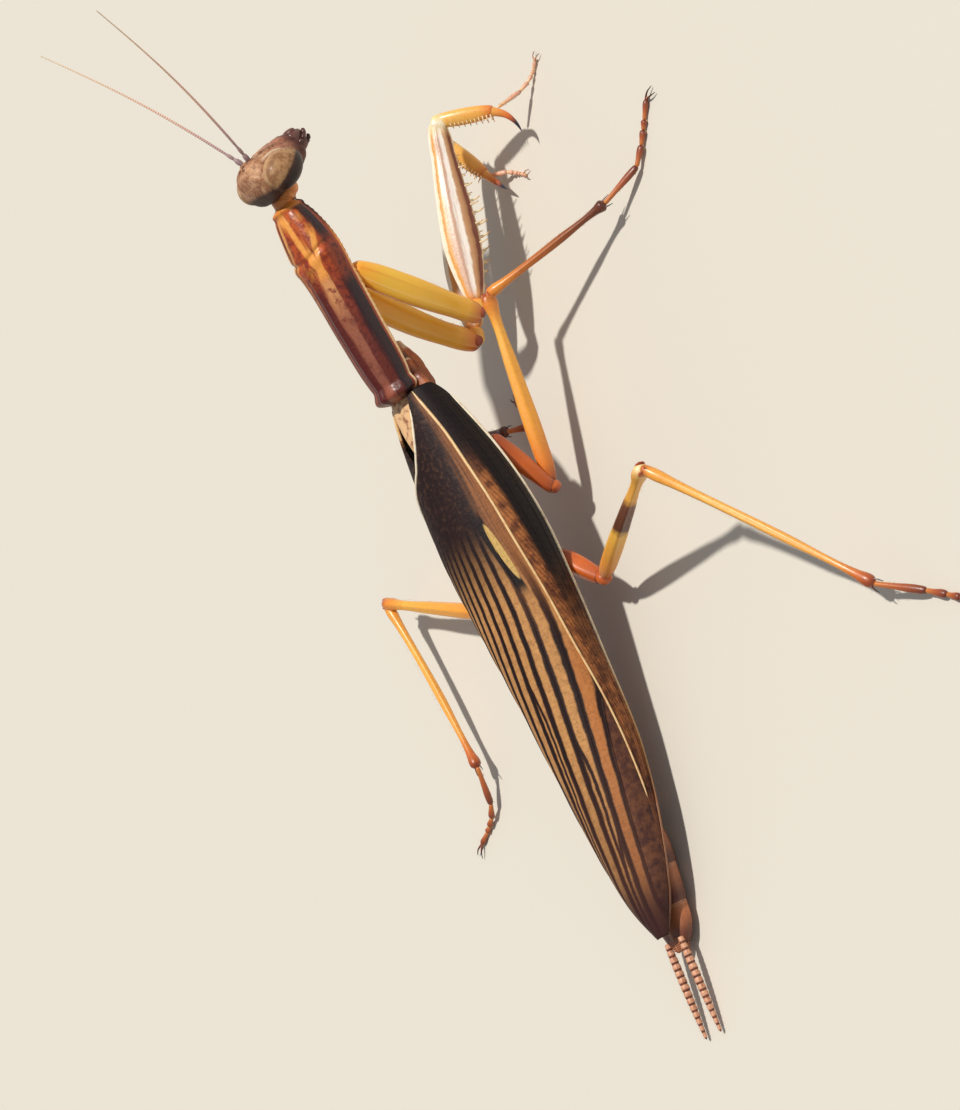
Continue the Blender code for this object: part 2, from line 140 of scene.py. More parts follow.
def smooth(rows):
    """A function of the rows' first column that passes smoothly through their other columns."""
    table = np.array(rows, float)
    knots, values = table[:, 0], table[:, 1:]
    slopes = np.gradient(values, knots, axis=0)

    def value(x):
        x = np.clip(np.asarray(x, float), knots[0], knots[-1])
        i = np.clip(np.searchsorted(knots, x, side="right") - 1, 0, len(knots) - 2)
        span = (knots[i + 1] - knots[i])[..., None]
        t = (x - knots[i])[..., None] / span
        start = (2 * t**3 - 3 * t**2 + 1) * values[i] + (t**3 - 2 * t**2 + t) * span * slopes[i]
        return start + (3 * t**2 - 2 * t**3) * values[i + 1] + (t**3 - t**2) * span * slopes[i + 1]

    return value


def soft_step(x, width):
    """0 well below zero and 1 well above, over this width."""
    t = np.clip(0.5 + np.asarray(x, float) / width, 0.0, 1.0)
    return t * t * (3.0 - 2.0 * t)


def ridge(x, width):
    return np.exp(-(np.asarray(x, float) / width) ** 2)


def squared(wave, power):
    """A sine or cosine whose circle comes out squarer as the power rises from 2."""
    return np.sign(wave) * np.abs(wave) ** (2.0 / power)


def crowded(count):
    """Shares from 0 to 1, closer together at both ends."""
    return 0.5 - 0.5 * np.cos(np.pi * np.linspace(0.0, 1.0, count))


def turns(count):
    """This many angles, once round."""
    return 2.0 * math.pi * np.arange(count) / count


def between(first, second, share):
    return first + (second - first) * share


def marks_of(*parts):
    """The marks of each point, from three arrays that fill out to one shape."""
    return np.stack(np.broadcast_arrays(*parts), axis=-1)


def path_through(points, count):
    """A smooth path through the points, evenly stepped."""
    points = np.array(points, float)
    steps = np.linalg.norm(np.diff(points, axis=0), axis=1)
    knots = np.concatenate(([0.0], np.cumsum(steps)))
    return smooth(np.column_stack((knots, points)))(np.linspace(0.0, knots[-1], count))


def ribbed(amount, count, turn=0.0):
    """Relief of this many long ribs round a limb."""
    def relief(along, cosines, sines):
        angle = np.arctan2(sines, cosines) + turn
        return amount * np.cos(count * angle) * np.sin(np.pi * np.clip(along, 0.02, 0.98))
    return relief


def ball(sides):
    """Forward, left and up parts of a ball's surface, in rings round its left axis."""
    polar, turn = np.pi * (np.arange(1, sides) / sides), turns(sides)
    left = np.repeat(np.cos(polar)[:, None], sides, axis=1)
    return np.outer(np.sin(polar), np.cos(turn)), left, np.outer(np.sin(polar), np.sin(turn))


def sweep(path, sizes, hint=UP, sides=20, power=2.0, relief=None):
    """Rings square to a path. Their marks are the share of its length, and the cosine and sine of the turn.

    Sizes are the half-widths across the hint and along it, or one for both.
    """
    ways = unit(np.gradient(path, axis=0))
    across = unit(np.cross(ways, hint))
    up = np.cross(across, ways)
    cosines, sines = np.cos(turns(sides)), np.sin(turns(sides))
    steps = np.linalg.norm(np.diff(path, axis=0), axis=1)
    along = (np.concatenate(([0.0], np.cumsum(steps))) / steps.sum())[:, None]
    grow = relief(along, cosines, sines) if relief else 0.0
    wide = sizes[:, :1] * squared(cosines, power) + grow * cosines
    high = sizes[:, -1:] * squared(sines, power) + grow * sines
    points = path[:, None] + wide[..., None] * across[:, None] + high[..., None] * up[:, None]
    return points, marks_of(along, cosines, sines)


def faces_inward(rings):
    """Whether closed rings turn the wrong way for their quads to face outward."""
    turned_area = np.cross(rings, np.roll(rings, -1, axis=1)).sum(axis=1)
    steps = np.diff(rings.mean(axis=1), axis=0)
    return (turned_area[:-1] * steps).sum() < 0.0


def add_object(name, data):
    obj = bpy.data.objects.new(name, data)
    bpy.context.scene.collection.objects.link(obj)
    return obj


class Piece:
    """One mesh in the making. Each point carries marks, three numbers that its material reads."""

    def __init__(self):
        self.points, self.marks, self.faces, self.kinds = [], [], [], []
        self.count = 0

    def add(self, points, marks, faces, kind):
        self.points.append(np.asarray(points, float).reshape(-1, 3))
        self.marks.append(np.broadcast_to(marks, points.shape).reshape(-1, 3))
        self.faces += faces
        self.kinds += [kind] * len(faces)
        self.count += len(self.points[-1])

    def grid(self, points, marks, kind=0, closed=True):
        """Rings of points joined by quads; closed ones go all the way round and have both ends filled."""
        rings, corners = points.shape[:2]
        if closed and faces_inward(points):
            points, marks = points[:, ::-1], marks[:, ::-1]
        index = self.count + np.arange(rings * corners).reshape(rings, corners)
        after = np.roll(index, -1, axis=1)
        if not closed:
            index, after = index[:, :-1], index[:, 1:]
        quads = np.stack((index[:-1], after[:-1], after[1:], index[1:]), axis=-1)
        faces = quads.reshape(-1, 4).tolist()
        if closed:
            faces += [index[0, ::-1].tolist(), index[-1].tolist()]
        self.add(points, marks, faces, kind)

    def limb(
        self, start, end, rows, hint=UP, kind=0, steps=44, sides=20, bow=(0.0, 0.0, 0.0), power=2.0,
        relief=None,
    ):
        """A round-ended limb. Rows: share of its length, then half-widths across the hint and along it."""
        at = crowded(steps)
        path = start + np.outer(at, end - start) + np.outer(np.sin(np.pi * at), bow)
        sizes = np.maximum(smooth(rows)(at), 0.02)
        length = np.linalg.norm(end - start)
        for share, size in ((at, rows[0][1]), (1.0 - at, rows[-1][1])):
            near = np.clip(share * length / max(size, 0.05), 0.0, 1.0)
            sizes = sizes * np.sqrt(np.clip(1.0 - (1.0 - near) ** 2, 0.004, 1.0))[:, None]
        self.grid(*sweep(path, sizes, hint, sides, power, relief), kind)

    def pair(self, centre, apart, back, ahead, rows, hint=UP, kind=0, steps=44, sides=20):
        """Two limbs, one on each side of the centre."""
        for sign in (-1, 1):
            lobe = centre + apart * sign
            self.limb(lobe - back, lobe + ahead, rows, hint, kind, steps, sides)

    def horn(self, points, radius, kind=0, steps=14, sides=8, tip=0.03, hint=(0.31, 0.17, 0.93)):
        """A spine or claw that tapers to a point along a smooth path."""
        size = tip + (radius - tip) * (1.0 - np.linspace(0.0, 1.0, steps)) ** 0.85
        self.grid(*sweep(path_through(points, steps), size[:, None], hint, sides), kind)

    def dome(self, centre, axes, sizes, kind=0, sides=24):
        """A whole ellipsoid, with its poles on the axes' left line."""
        x, y, z = ball(sides)
        reach = axes.at(sizes[0] * x, sizes[1] * y, sizes[2] * z) - axes.origin
        self.grid(np.asarray(centre) + reach, marks_of(x, y, z), kind)

    def bristles(self, feet, ways, lengths, radius=0.02, kind=0):
        """Fine tapered hairs with three sides, one from each foot."""
        ways = unit(ways)
        lengths = np.broadcast_to(lengths, len(feet))
        across = unit(np.cross(ways, (0.31, 0.57, 0.76)))
        other = np.cross(ways, across)
        corners = []
        for turn in (0.0, 2.1, 4.2):
            corners.append(feet + radius * (math.cos(turn) * across + math.sin(turn) * other))
        corners.append(feet + ways * lengths[:, None])
        points = np.stack(corners, axis=1)
        marks = np.zeros_like(points)
        marks[:, 3, 0] = 1.0
        faces = []
        for first in self.count + 4 * np.arange(len(feet)):
            a, b, c, tip = (int(first + k) for k in range(4))
            faces += [(a, b, tip), (b, c, tip), (c, a, tip), (c, b, a)]
        self.add(points, marks, faces, kind)

    def hairs(self, start, end, radius, count, length, kind, seed):
        """Short hairs leaning toward the tip of a limb."""
        chance = np.random.default_rng(seed)
        way = unit(end - start)
        side = unit(np.cross(way, UP))
        up = np.cross(side, way)
        share = chance.uniform(0.05, 0.97, count)
        turn = chance.uniform(0.0, 2.0 * math.pi, count)
        out = np.cos(turn)[:, None] * side + np.sin(turn)[:, None] * up
        feet = start + share[:, None] * (end - start) + out * radius * 0.93
        self.bristles(feet, out + way * 1.1, length * chance.uniform(0.6, 1.0, count), 0.014, kind)

    def make(self, name, paints, slot, *nodes, thickness=0.0):
        """The finished object, which rides on the frame and stands for its CAD nodes."""
        points = np.concatenate(self.points)
        points[:, 2] = np.maximum(points[:, 2], 0.0)
        mesh = bpy.data.meshes.new(name)
        mesh.from_pydata(((points - CENTRE) * MM).tolist(), [], self.faces)
        marks = mesh.attributes.new("marks", "FLOAT_VECTOR", "POINT")
        marks.data.foreach_set("vector", np.concatenate(self.marks).astype(np.float32).ravel())
        mesh.polygons.foreach_set("material_index", np.array(self.kinds, np.int32))
        mesh.shade_smooth()
        for paint in paints:
            mesh.materials.append(PAINTS[paint])
        obj = add_object(name, mesh)
        if thickness:
            shell = obj.modifiers.new("Sheet", "SOLIDIFY")
            shell.thickness = thickness * MM
            shell.offset = -1.0
        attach(obj, "root")
        if nodes:
            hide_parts(*nodes)


# ---- Materials ----

# Colours are screen values, 0 to 255
BLACK_BROWN = (30, 18, 16)
DARK_BROWN = (58, 34, 26)
MAROON = (72, 16, 12)
CHESTNUT = (150, 82, 44)
TAN = (190, 144, 94)
PALE_TAN = (214, 178, 134)
CREAM = (236, 216, 180)
GOLDEN = (224, 152, 62)
ORANGE = (206, 100, 32)
PINKISH = (206, 158, 136)
GREY_PURPLE = (98, 82, 88)


def linear(colour):
    """A screen colour as the shader wants it."""
    shares = np.array(colour) / 255.0
    return (*np.where(shares <= 0.04045, shares / 12.92, ((shares + 0.055) / 1.055) ** 2.4).tolist(), 1.0)


def math_method(operation, swapped=False):
    """An operator of Value that makes a math node of this kind."""
    def method(self, *others):
        return self.paint.math(operation, *((*others, self) if swapped else (self, *others)))
    return method


class Value:
    """A number that varies over a surface. Arithmetic on it makes shader nodes."""

    def __init__(self, paint, socket):
        self.paint = paint
        self.socket = socket

    __add__ = math_method("ADD")
    __radd__ = math_method("ADD", swapped=True)
    __sub__ = math_method("SUBTRACT")
    __rsub__ = math_method("SUBTRACT", swapped=True)
    __mul__ = math_method("MULTIPLY")
    __truediv__ = math_method("DIVIDE")
    __pow__ = math_method("POWER")
    __abs__ = math_method("ABSOLUTE")

    def line(self, slope, start):
        return self.paint.math("MULTIPLY_ADD", self, slope, start)

    def step(self, low, high):
        """0 below low and 1 above high, or the other way round when high is the smaller."""
        node = self.paint.node("ShaderNodeMapRange", {"Value": self, "From Min": low, "From Max": high})
        node.interpolation_type = "SMOOTHSTEP"
        return Value(self.paint, node.outputs["Result"])

    def band(self, centre, half, soft):
        """1 within half of the centre, fading to 0 over soft."""
        return abs(self - centre).step(half + soft, half)


class Paint:
    """One cuticle material, whose colour is laid on in layers. Sizes are in mm.

    The marks along, across and up come from the mesh.
    """

    def __init__(self, name, roughness=0.4, coat=0.2, scatter=0.1, shine=0.5):
        self.material = bpy.data.materials.new(name)
        self.material.use_nodes = True
        self.tree = self.material.node_tree
        self.inputs = self.tree.nodes["Principled BSDF"].inputs
        settings = {
            "Roughness": roughness, "Specular IOR Level": shine, "Coat Weight": coat, "Coat Roughness": 0.22,
            "Subsurface Weight": scatter, "Subsurface Radius": (1.0, 0.45, 0.2), "Subsurface Scale": 0.5 * MM,
        }
        for key, value in settings.items():
            self.put(self.inputs[key], value)
        marks = self.node("ShaderNodeAttribute")
        marks.attribute_name = "marks"
        parts = self.node("ShaderNodeSeparateXYZ", {0: marks.outputs["Vector"]})
        self.along, self.across, self.up = (Value(self, output) for output in parts.outputs)
        self.place = self.node("ShaderNodeTexCoord").outputs["Object"]
        self.colour = None

    def node(self, kind, values=None):
        """A node with its inputs set to numbers, or joined to other nodes' outputs."""
        node = self.tree.nodes.new(kind)
        for key, value in (values or {}).items():
            self.put(node.inputs[key], value)
        return node

    def put(self, socket, value):
        if isinstance(value, Value):
            value = value.socket
        if isinstance(value, bpy.types.NodeSocket):
            self.tree.links.new(value, socket)
        else:
            socket.default_value = value

    def math(self, operation, *values):
        node = self.node("ShaderNodeMath", dict(enumerate(values)))
        node.operation = operation
        return Value(self, node.outputs[0])

    def ramp(self, value, *stops):
        """A colour that runs through the stops, each a value and a screen colour."""
        node = self.node("ShaderNodeValToRGB", {0: value})
        stripes = node.color_ramp.elements
        while len(stripes) < len(stops):
            stripes.new(0.5)
        for element, (position, *colour) in zip(stripes, stops):
            element.position = position
            element.color = linear(colour)
        return node.outputs["Color"]

    def mix(self, share, first, second):
        """A colour between the first, where the share is 0, and the second, where it is 1."""
        node = self.node("ShaderNodeMix")
        node.data_type = "RGBA"
        for index, value in ((0, share), (6, first), (7, second)):
            self.put(node.inputs[index], linear(value) if isinstance(value, tuple) else value)
        return node.outputs[2]

    def lay(self, share, colour):
        """Covers this share of what is there with another colour."""
        self.colour = self.mix(share, self.colour, colour)

    def rings(self, count):
        """Rises from 0 to 1 in each of this many rings along the mesh."""
        return self.math("FRACT", self.along * count)

    def degrees_from_top(self):
        """The turn round a trunk, positive on the left, where the marks are its sine and cosine."""
        return self.math("ARCTAN2", self.across, self.up) * (180.0 / math.pi)

    def noise(self, size, detail=3.0, stretch=(1.0, 1.0, 1.0), shift=0.0, marks=False):
        """Cloudy noise from 0 to 1 with spots of this size; on the marks its size is in their units."""
        place = self.place
        scale = 1.0 / (size * MM)
        if marks:
            place = self.node("ShaderNodeCombineXYZ", {0: self.along, 1: self.across, 2: self.up}).outputs[0]
            scale = 1.0 / size
        spread = {"Vector": place, "Location": (shift, shift, shift), "Scale": stretch}
        mapping = self.node("ShaderNodeMapping", spread)
        values = {"Vector": mapping.outputs[0], "Scale": scale, "Detail": detail, "Roughness": 0.6}
        return Value(self, self.node("ShaderNodeTexNoise", values).outputs[0])

    def wander(self, size, amount, detail=3.0, marks=False):
        """Noise about zero, to make an edge less regular."""
        return (self.noise(size, detail, marks=marks) - 0.5) * amount

    def cells(self, size, edges=False):
        """Distance from the middle of a cell of this size, or from its edge."""
        node = self.node("ShaderNodeTexVoronoi", {"Vector": self.place, "Scale": 1.0 / (size * MM)})
        node.feature = "DISTANCE_TO_EDGE" if edges else "F1"
        return Value(self, node.outputs["Distance"])

    def speckle(self, dark, size, amount=0.5, shift=0.0):
        """Darkens the colour in cloudy flecks."""
        self.lay(self.noise(size, 4.0, shift=shift).step(0.45, 0.72) * amount, dark)

    def bump(self, height, depth):
        """Adds relief of this depth in mm to what is there already."""
        node = self.node("ShaderNodeBump", {"Height": height, "Distance": depth * MM})
        normal = self.inputs["Normal"]
        if normal.is_linked:
            self.put(node.inputs["Normal"], normal.links[0].from_socket)
        self.put(normal, node.outputs[0])

    def grain(self, depth, size, detail=3.0):
        """Adds fine cloudy relief."""
        self.bump(self.noise(size, detail), depth)

    def finish(self, *roughness):
        """Sets the colour, and lets the roughness wander between two values if they are given."""
        self.put(self.inputs["Base Color"], self.colour)
        if roughness:
            spread = {"Value": self.noise(0.35), "To Min": roughness[0], "To Max": roughness[1]}
            self.put(self.inputs["Roughness"], self.node("ShaderNodeMapRange", spread).outputs["Result"])
        return self.material


def head_paint():
    """Mottled olive tan, dark maroon toward the mouth and, deepened by painted shade, low at the back;
    painted shade darkens the back of the head and the back of the crown; pale orbit rims in front.
    """
    paint = Paint("head cuticle", coat=0.05, shine=0.3)
    depth, aside, height = paint.along, abs(paint.across), paint.up
    paint.colour = paint.mix(paint.noise(0.8, 4.0).step(0.38, 0.62), (204, 156, 118), (160, 108, 76))
    paint.lay(height.step(0.2, -2.4) * 0.8, (168, 108, 86))
    paint.lay(height.step(-2.8, -4.0), (92, 50, 46))
    # reddish brown low at the back, its own colour deepened by painted shade
    paint.lay(depth.step(0.5, -1.0) * height.step(0.8, -0.8) * 0.85, (82, 32, 24))
    # painted shade over the back of the head
    paint.lay(depth.step(-1.1, -1.9) * 0.85, (46, 24, 20))
    parts = zip((depth, aside, height), EYE_PLACE, EYE_HALF)
    squares = [((mark - middle) / half) ** 2.0 for mark, middle, half in parts]
    orbit = paint.math("SQRT", squares[0] + squares[1] + squares[2])
    rim = orbit.band(1.16, 0.04, 0.07) * depth.step(-0.6, 0.2) * height.step(1.2, 0.2)
    paint.lay(rim * 0.9, (226, 200, 170))
    # painted shade: a near-black rim at the back of the crown
    paint.lay((height * 0.6 - depth).step(1.75, 2.4) * 0.92, (36, 13, 14))
    paint.speckle(DARK_BROWN, 0.26, 0.6)
    paint.grain(0.035, 0.16, 4.0)
    paint.bump(paint.cells(0.22, edges=True), 0.03)
    return paint.finish(0.4, 0.62)


def eye_paint():
    """Mottled tan facets, darkened toward the back to dark brown and near black as painted shade."""
    paint = Paint("compound eye", roughness=0.42, coat=0.08, scatter=0.05, shine=0.3)
    depth, outward, height = paint.along, abs(paint.across), paint.up
    paint.colour = paint.mix(paint.noise(0.7, 4.0).step(0.38, 0.64), (184, 140, 96), (142, 98, 62))
    # painted shade: the rear of the eye, turned from the light, goes dark brown and then near black
    back = depth + paint.wander(0.9, 0.25) + height * 0.32
    paint.lay(back.step(0.06, -0.14), (60, 28, 20))
    paint.lay(back.step(-0.08, -0.42), (22, 11, 12))
    paint.lay(outward.step(0.3, 0.1) * depth.step(0.0, 0.4) * 0.6, PALE_TAN)
    facets = paint.cells(0.075)
    paint.lay(facets.step(0.35, 0.75) * 0.28, DARK_BROWN)
    paint.bump(facets.step(0.75, 0.05), 0.014)
    return paint.finish()


def plain_paint(name, light, dark, size=0.3, amount=0.5, roughness=0.4, coat=0.2, depth=0.02):
    """Two cloudy colours with a fine grain, for the small pieces."""
    paint = Paint(name, roughness=roughness, coat=coat)
    paint.colour = light
    paint.speckle(dark, size, amount)
    paint.grain(depth, size * 0.4)
    return paint.finish()


def claw_paint(name, root, middle, tip, change=0.55):
    """A spine or claw that darkens toward its point."""
    paint = Paint(name, roughness=0.28, coat=0.4)
    paint.colour = paint.ramp(paint.along, (0.0, *root), (change, *middle), (min(change + 0.25, 1.0), *tip))
    paint.grain(0.008, 0.12, 2.0)
    return paint.finish()


def antenna_paint():
    """Grey purple at the root, then pinkish, then cream, with a dark line at each ring."""
    paint = Paint("antenna", roughness=0.5, coat=0.05)
    paint.colour = paint.ramp(
        paint.along, (0.0, 150, 124, 128), (0.15, 190, 154, 148), (0.4, 232, 186, 164), (0.8, 244, 208, 176),
        (1.0, *CREAM),
    )
    paint.lay(paint.rings(ANTENNA_RINGS).band(0.94, 0.05, 0.08) * 0.5, GREY_PURPLE)
    return paint.finish()


def membrane_paint():
    paint = Paint("joint membrane", roughness=0.5, coat=0.05, scatter=0.2)
    paint.colour = paint.mix(paint.noise(0.35), (188, 92, 34), (226, 156, 84))
    paint.grain(0.03, 0.12)
    return paint.finish()


def pronotum_paint():
    """Maroon along the middle between tan strips that also carry a painted highlight, purple black down each
    side partly as painted shade, a painted cream highlight on the left rim, and orange gold in front.
    """
    paint = Paint("pronotum shell", coat=0.2, shine=0.35)
    front, angle = paint.along, paint.degrees_from_top()
    edge = abs(angle)
    side = edge + paint.wander(0.22, 26.0, detail=4.0, marks=True)
    mahogany = paint.ramp(front, (0.0, 96, 36, 24), (0.3, 104, 40, 28), (0.65, 140, 54, 28))
    paint.colour = paint.mix(paint.noise(0.5, 4.0).step(0.42, 0.7), mahogany, (84, 26, 20))
    # tan strips beside the keel: their own colour, brightened as a painted highlight on the lit slopes
    strip_and_highlight = paint.ramp(
        front, (0.0, 150, 76, 50), (0.12, 140, 80, 62), (0.42, 150, 88, 62), (0.6, 216, 152, 96),
        (0.75, 226, 138, 60),
    )
    paint.lay(side.band(28.0, 9.0, 9.0) * paint.noise(0.8, shift=5.0).step(0.25, 0.5), strip_and_highlight)
    # purple black down each side: a darker own colour deepened by painted shade
    gap = 1.0 - front.band(0.68, 0.06, 0.08) * 0.85
    paint.lay(side.step(60.0, 76.0) * front.step(1.0, 0.92) * gap, (38, 18, 26))
    paint.lay(angle.band(2.0, 8.0, 6.0) * front.step(0.86, 0.7) * 0.9, (84, 20, 14))
    lay_pronotum_front(paint, front, side)
    paint.lay(angle.band(27.0, 3.0, 5.0) * front.step(0.97, 0.9) * 0.75, (78, 20, 14))
    # painted highlight: a cream line of light along the left side only, which faces the light
    left_rim_highlight = angle.step(32.0, 37.0) * angle.step(58.0, 48.0) * front.step(0.96, 0.9)
    paint.lay(left_rim_highlight * 0.85, (238, 190, 136))
    border = paint.ramp(
        front, (0.0, 226, 190, 150), (0.5, 236, 190, 132), (0.74, 226, 140, 66), (0.84, 120, 60, 30),
        (1.0, 48, 22, 20),
    )
    paint.lay(edge.band(105.0, 2.0, 4.0) * 0.8, (170, 60, 28))
    paint.lay(edge.step(107.0, 111.0), border)
    paint.lay(edge.step(119.0, 130.0), (196, 108, 50))
    lines = paint.noise(0.12, 4.0, (1.0, 0.5, 1.0), shift=6.0, marks=True)
    paint.lay(lines.step(0.52, 0.72) * 0.4, MAROON)
    paint.grain(0.03, 0.14, 4.0)
    paint.bump(paint.cells(0.32), 0.03)
    return paint.finish(0.3, 0.5)


def lay_pronotum_front(paint, front, side):
    """The front third: red orange with golden arms that part from the pale strips, and a golden rim."""
    reach = front.step(0.56, 0.7) * side.step(84.0, 62.0)
    ground = paint.mix(paint.noise(0.9).step(0.4, 0.62), (188, 82, 34), (134, 48, 24))
    paint.lay(reach * 0.9, ground)
    rise = front - 0.68
    inner = (side + rise * 89.0).band(31.0, 5.0, 7.0)
    outer = (side - rise * 190.0).band(36.0, 5.0, 7.0) * front.step(0.88, 0.8)
    arms = paint.math("MAXIMUM", inner, outer) * front.band(0.79, 0.14, 0.05)
    paint.lay(arms * 0.92, (236, 160, 74))
    paint.lay(paint.noise(0.9, shift=4.0).step(0.5, 0.64) * reach * 0.45, GOLDEN)
    paint.lay(front.step(0.955, 0.98), (222, 138, 54))


def margin_paint():
    """The raised outer margin: nearly white at the root, golden past the middle and brown at the tip."""
    paint = Paint("wing margin", coat=0.1)
    paint.colour = paint.ramp(
        paint.along, (0.0, 246, 232, 206), (0.5, 240, 222, 188), (0.66, 206, 158, 98), (0.8, 150, 98, 58),
        (1.0, 74, 42, 34),
    )
    paint.speckle((150, 96, 58), 0.8, 0.4)
    paint.grain(0.02, 0.3)
    return paint.finish()


def segment_paint(name, count, light, dark, pale, streak):
    """Rings of a trunk, each darker in front and pale at its rear rim, with fine streaks along them."""
    paint = Paint(name, coat=0.22)
    wave = paint.rings(count)
    paint.colour = paint.mix(wave.step(0.1, 0.75), dark, light)
    paint.lay(wave.band(0.95, 0.03, 0.05) * 0.7, pale)
    paint.lay(paint.noise(0.5, 4.0).step(0.5, 0.7) * 0.5, streak)
    paint.lay(paint.across.band(0.0, 0.03, 0.1) * paint.up.step(0.0, 0.5) * 0.6, pale)
    paint.grain(0.03, 0.15, 4.0)
    return paint.finish(0.35, 0.55)


def cercus_paint():
    paint = Paint("cercus rings", roughness=0.5, coat=0.05)
    paint.colour = paint.mix(paint.rings(CERCUS_BEADS).band(0.9, 0.12, 0.2), (214, 158, 124), (92, 44, 34))
    paint.speckle(CHESTNUT, 0.3, 0.75)
    return paint.finish()


def wing_paint():
    """Tan stripes between dark vein lines, rust beside the radius, a mottled costal field darkened in part by
    painted shade, and a pale stigma.

    The marks are the share of the wing's length, the stripe number and how far it is inside the radius.
    """
    paint = Paint("wing cover", roughness=0.6, coat=0.0, scatter=0.0, shine=0.22)
    length, field = paint.along, paint.up
    stripe = paint.across + paint.wander(1.8, 0.22)
    fine = paint.noise(0.16, 4.0, (1.0, 0.5, 1.0), marks=True)
    dark = paint.mix(paint.noise(0.9, 4.0), (20, 11, 12), (46, 26, 24))
    tan = paint.mix(paint.noise(0.6, 4.0, shift=2.0), (216, 162, 100), (160, 106, 62))
    stripes = fan_stripes(paint, length, stripe)
    paint.colour = paint.mix(stripes, dark, tan)
    paint.lay(stripe.band(-3.5, 0.4, 0.2) * length.step(0.44, 0.56) * stripes * 0.55, (176, 94, 42))
    paint.lay(length.step(0.62, 0.95) * 0.5, (92, 54, 40))
    mottle = paint.mix(paint.noise(0.8, 5.0, shift=8.0).step(0.3, 0.7), (64, 38, 36), (112, 70, 48))
    paint.lay(stripe.step(-3.96, -4.1) * length.step(0.34, 0.46), mottle)
    reach = (field - length.line(0.95, 0.07)).step(0.12, -0.1)
    rust = reach * length.step(0.5, 0.3) * length.step(0.0, 0.03) * fine.step(0.2, 0.6)
    paint.lay(rust * 0.85, (158, 100, 58))
    paint.lay(paint.noise(0.5, 4.0, shift=9.0).step(0.5, 0.66) * length.step(0.45, 0.1) * 0.22, (128, 88, 62))
    paint.lay(length.step(0.88, 0.97) * 0.75, (54, 28, 30))
    paint.lay(field.step(0.012, -0.012), costal_colour_and_shade(paint, length, field, fine))
    middle = field - length.line(-0.48, 0.46)
    stigma = ((length - 0.325) / 0.055) ** 2.0 + (middle / 0.062) ** 2.0
    paint.lay(length.band(0.325, 0.06, 0.03) * middle.band(0.06, 0.07, 0.03), (22, 14, 14))
    paint.lay(stigma.step(1.1, 0.8), (200, 164, 96))
    paint.speckle((56, 30, 24), 0.3, 0.25, shift=3.0)
    paint.bump(paint.cells(0.45, edges=True), 0.02)
    paint.grain(0.03, 0.2)
    return paint.finish(0.5, 0.7)


def fan_stripes(paint, length, stripe):
    """How much tan shows between the dark vein lines, four of which send out a second line."""
    near = abs(stripe - paint.math("ROUND", stripe))
    strength = length.step(0.26, 0.42) * length.step(1.02, 0.86)
    patchy = paint.noise(1.1, shift=11.0).step(0.22, 0.5)
    stripes = near.step(0.15, 0.29) * strength * patchy.line(0.3, 0.7)
    for first, place in ((-2.0, 0.62), (0.0, 0.5), (-3.0, 0.78), (1.0, 0.66)):
        bent = first + length.step(place, place + 0.12) * (-0.5 if first > -3.0 else 0.5)
        fork = (stripe - bent).band(0.0, 0.07, 0.09) * length.step(place - 0.02, place + 0.02)
        stripes = stripes * (1.0 - fork)
    return stripes


def costal_colour_and_shade(paint, length, field, fine):
    """From the radius to the outer margin: brown with slanted lines, made near black by painted shade near
    the root and in a band along the outer margin.
    """
    slant = paint.math("FRACT", field * 12.0 + length * 36.0)
    layers = (
        (slant.band(0.5, 0.14, 0.2) * 0.4, (54, 30, 24)),
        (fine.step(0.5, 0.75) * 0.4, (196, 128, 74)),
        (length.step(0.6, 0.85) * 0.7, (74, 42, 40)),
        # painted shade: near black over the root of the field and in a band along the outer margin
        (length.step(0.22, 0.12), (26, 16, 16)),
        (field.step(-0.2, -0.34) * length.step(0.62, 0.34), (20, 13, 14)),
    )
    colour = paint.mix(paint.noise(1.3, 4.0, shift=7.0).step(0.36, 0.64), (98, 54, 34), (172, 106, 58))
    for share, tint in layers:
        colour = paint.mix(share, colour, tint)
    return colour


def leg_paint(name, *stops):
    """A limb whose colour runs through the stops from root to tip, with fine flecks along it."""
    paint = Paint(name, coat=0.3, scatter=0.14)
    paint.colour = paint.ramp(paint.along + paint.wander(0.6, 0.06), *stops)
    paint.speckle((176, 84, 30), 0.3, 0.2)
    paint.grain(0.02, 0.12)
    return paint.finish(0.3, 0.5)


def fore_coxa_paint():
    """Golden yellow with orange seams, a painted cream highlight along the lit upper ridge and a dark
    red-brown tip.
    """
    paint = Paint("grasping coxa", coat=0.35, scatter=0.15)
    paint.colour = paint.ramp(
        paint.along, (0.0, 240, 160, 48), (0.25, 250, 196, 62), (0.85, 246, 184, 56), (0.95, 214, 112, 36),
        (0.985, 110, 34, 20),
    )
    paint.lay(paint.across.band(0.0, 0.05, 0.12) * paint.along.step(0.95, 0.8) * 0.6, (206, 100, 30))
    # painted highlight: cream along the upper ridge, where the light catches it
    paint.lay(paint.up.step(0.75, 0.97) * paint.along.step(0.95, 0.85) * 0.6, CREAM)
    streaks = (0.2, 1.0, 1.0)
    orange = paint.noise(0.3, 4.0, streaks, shift=2.0, marks=True).step(0.5, 0.66)
    paint.lay(orange * 0.5, (222, 130, 36))
    pale = paint.noise(0.3, 3.0, streaks, shift=7.0, marks=True).step(0.52, 0.7)
    paint.lay(pale * 0.45, (255, 224, 140))
    paint.grain(0.025, 0.14)
    return paint.finish(0.28, 0.45)


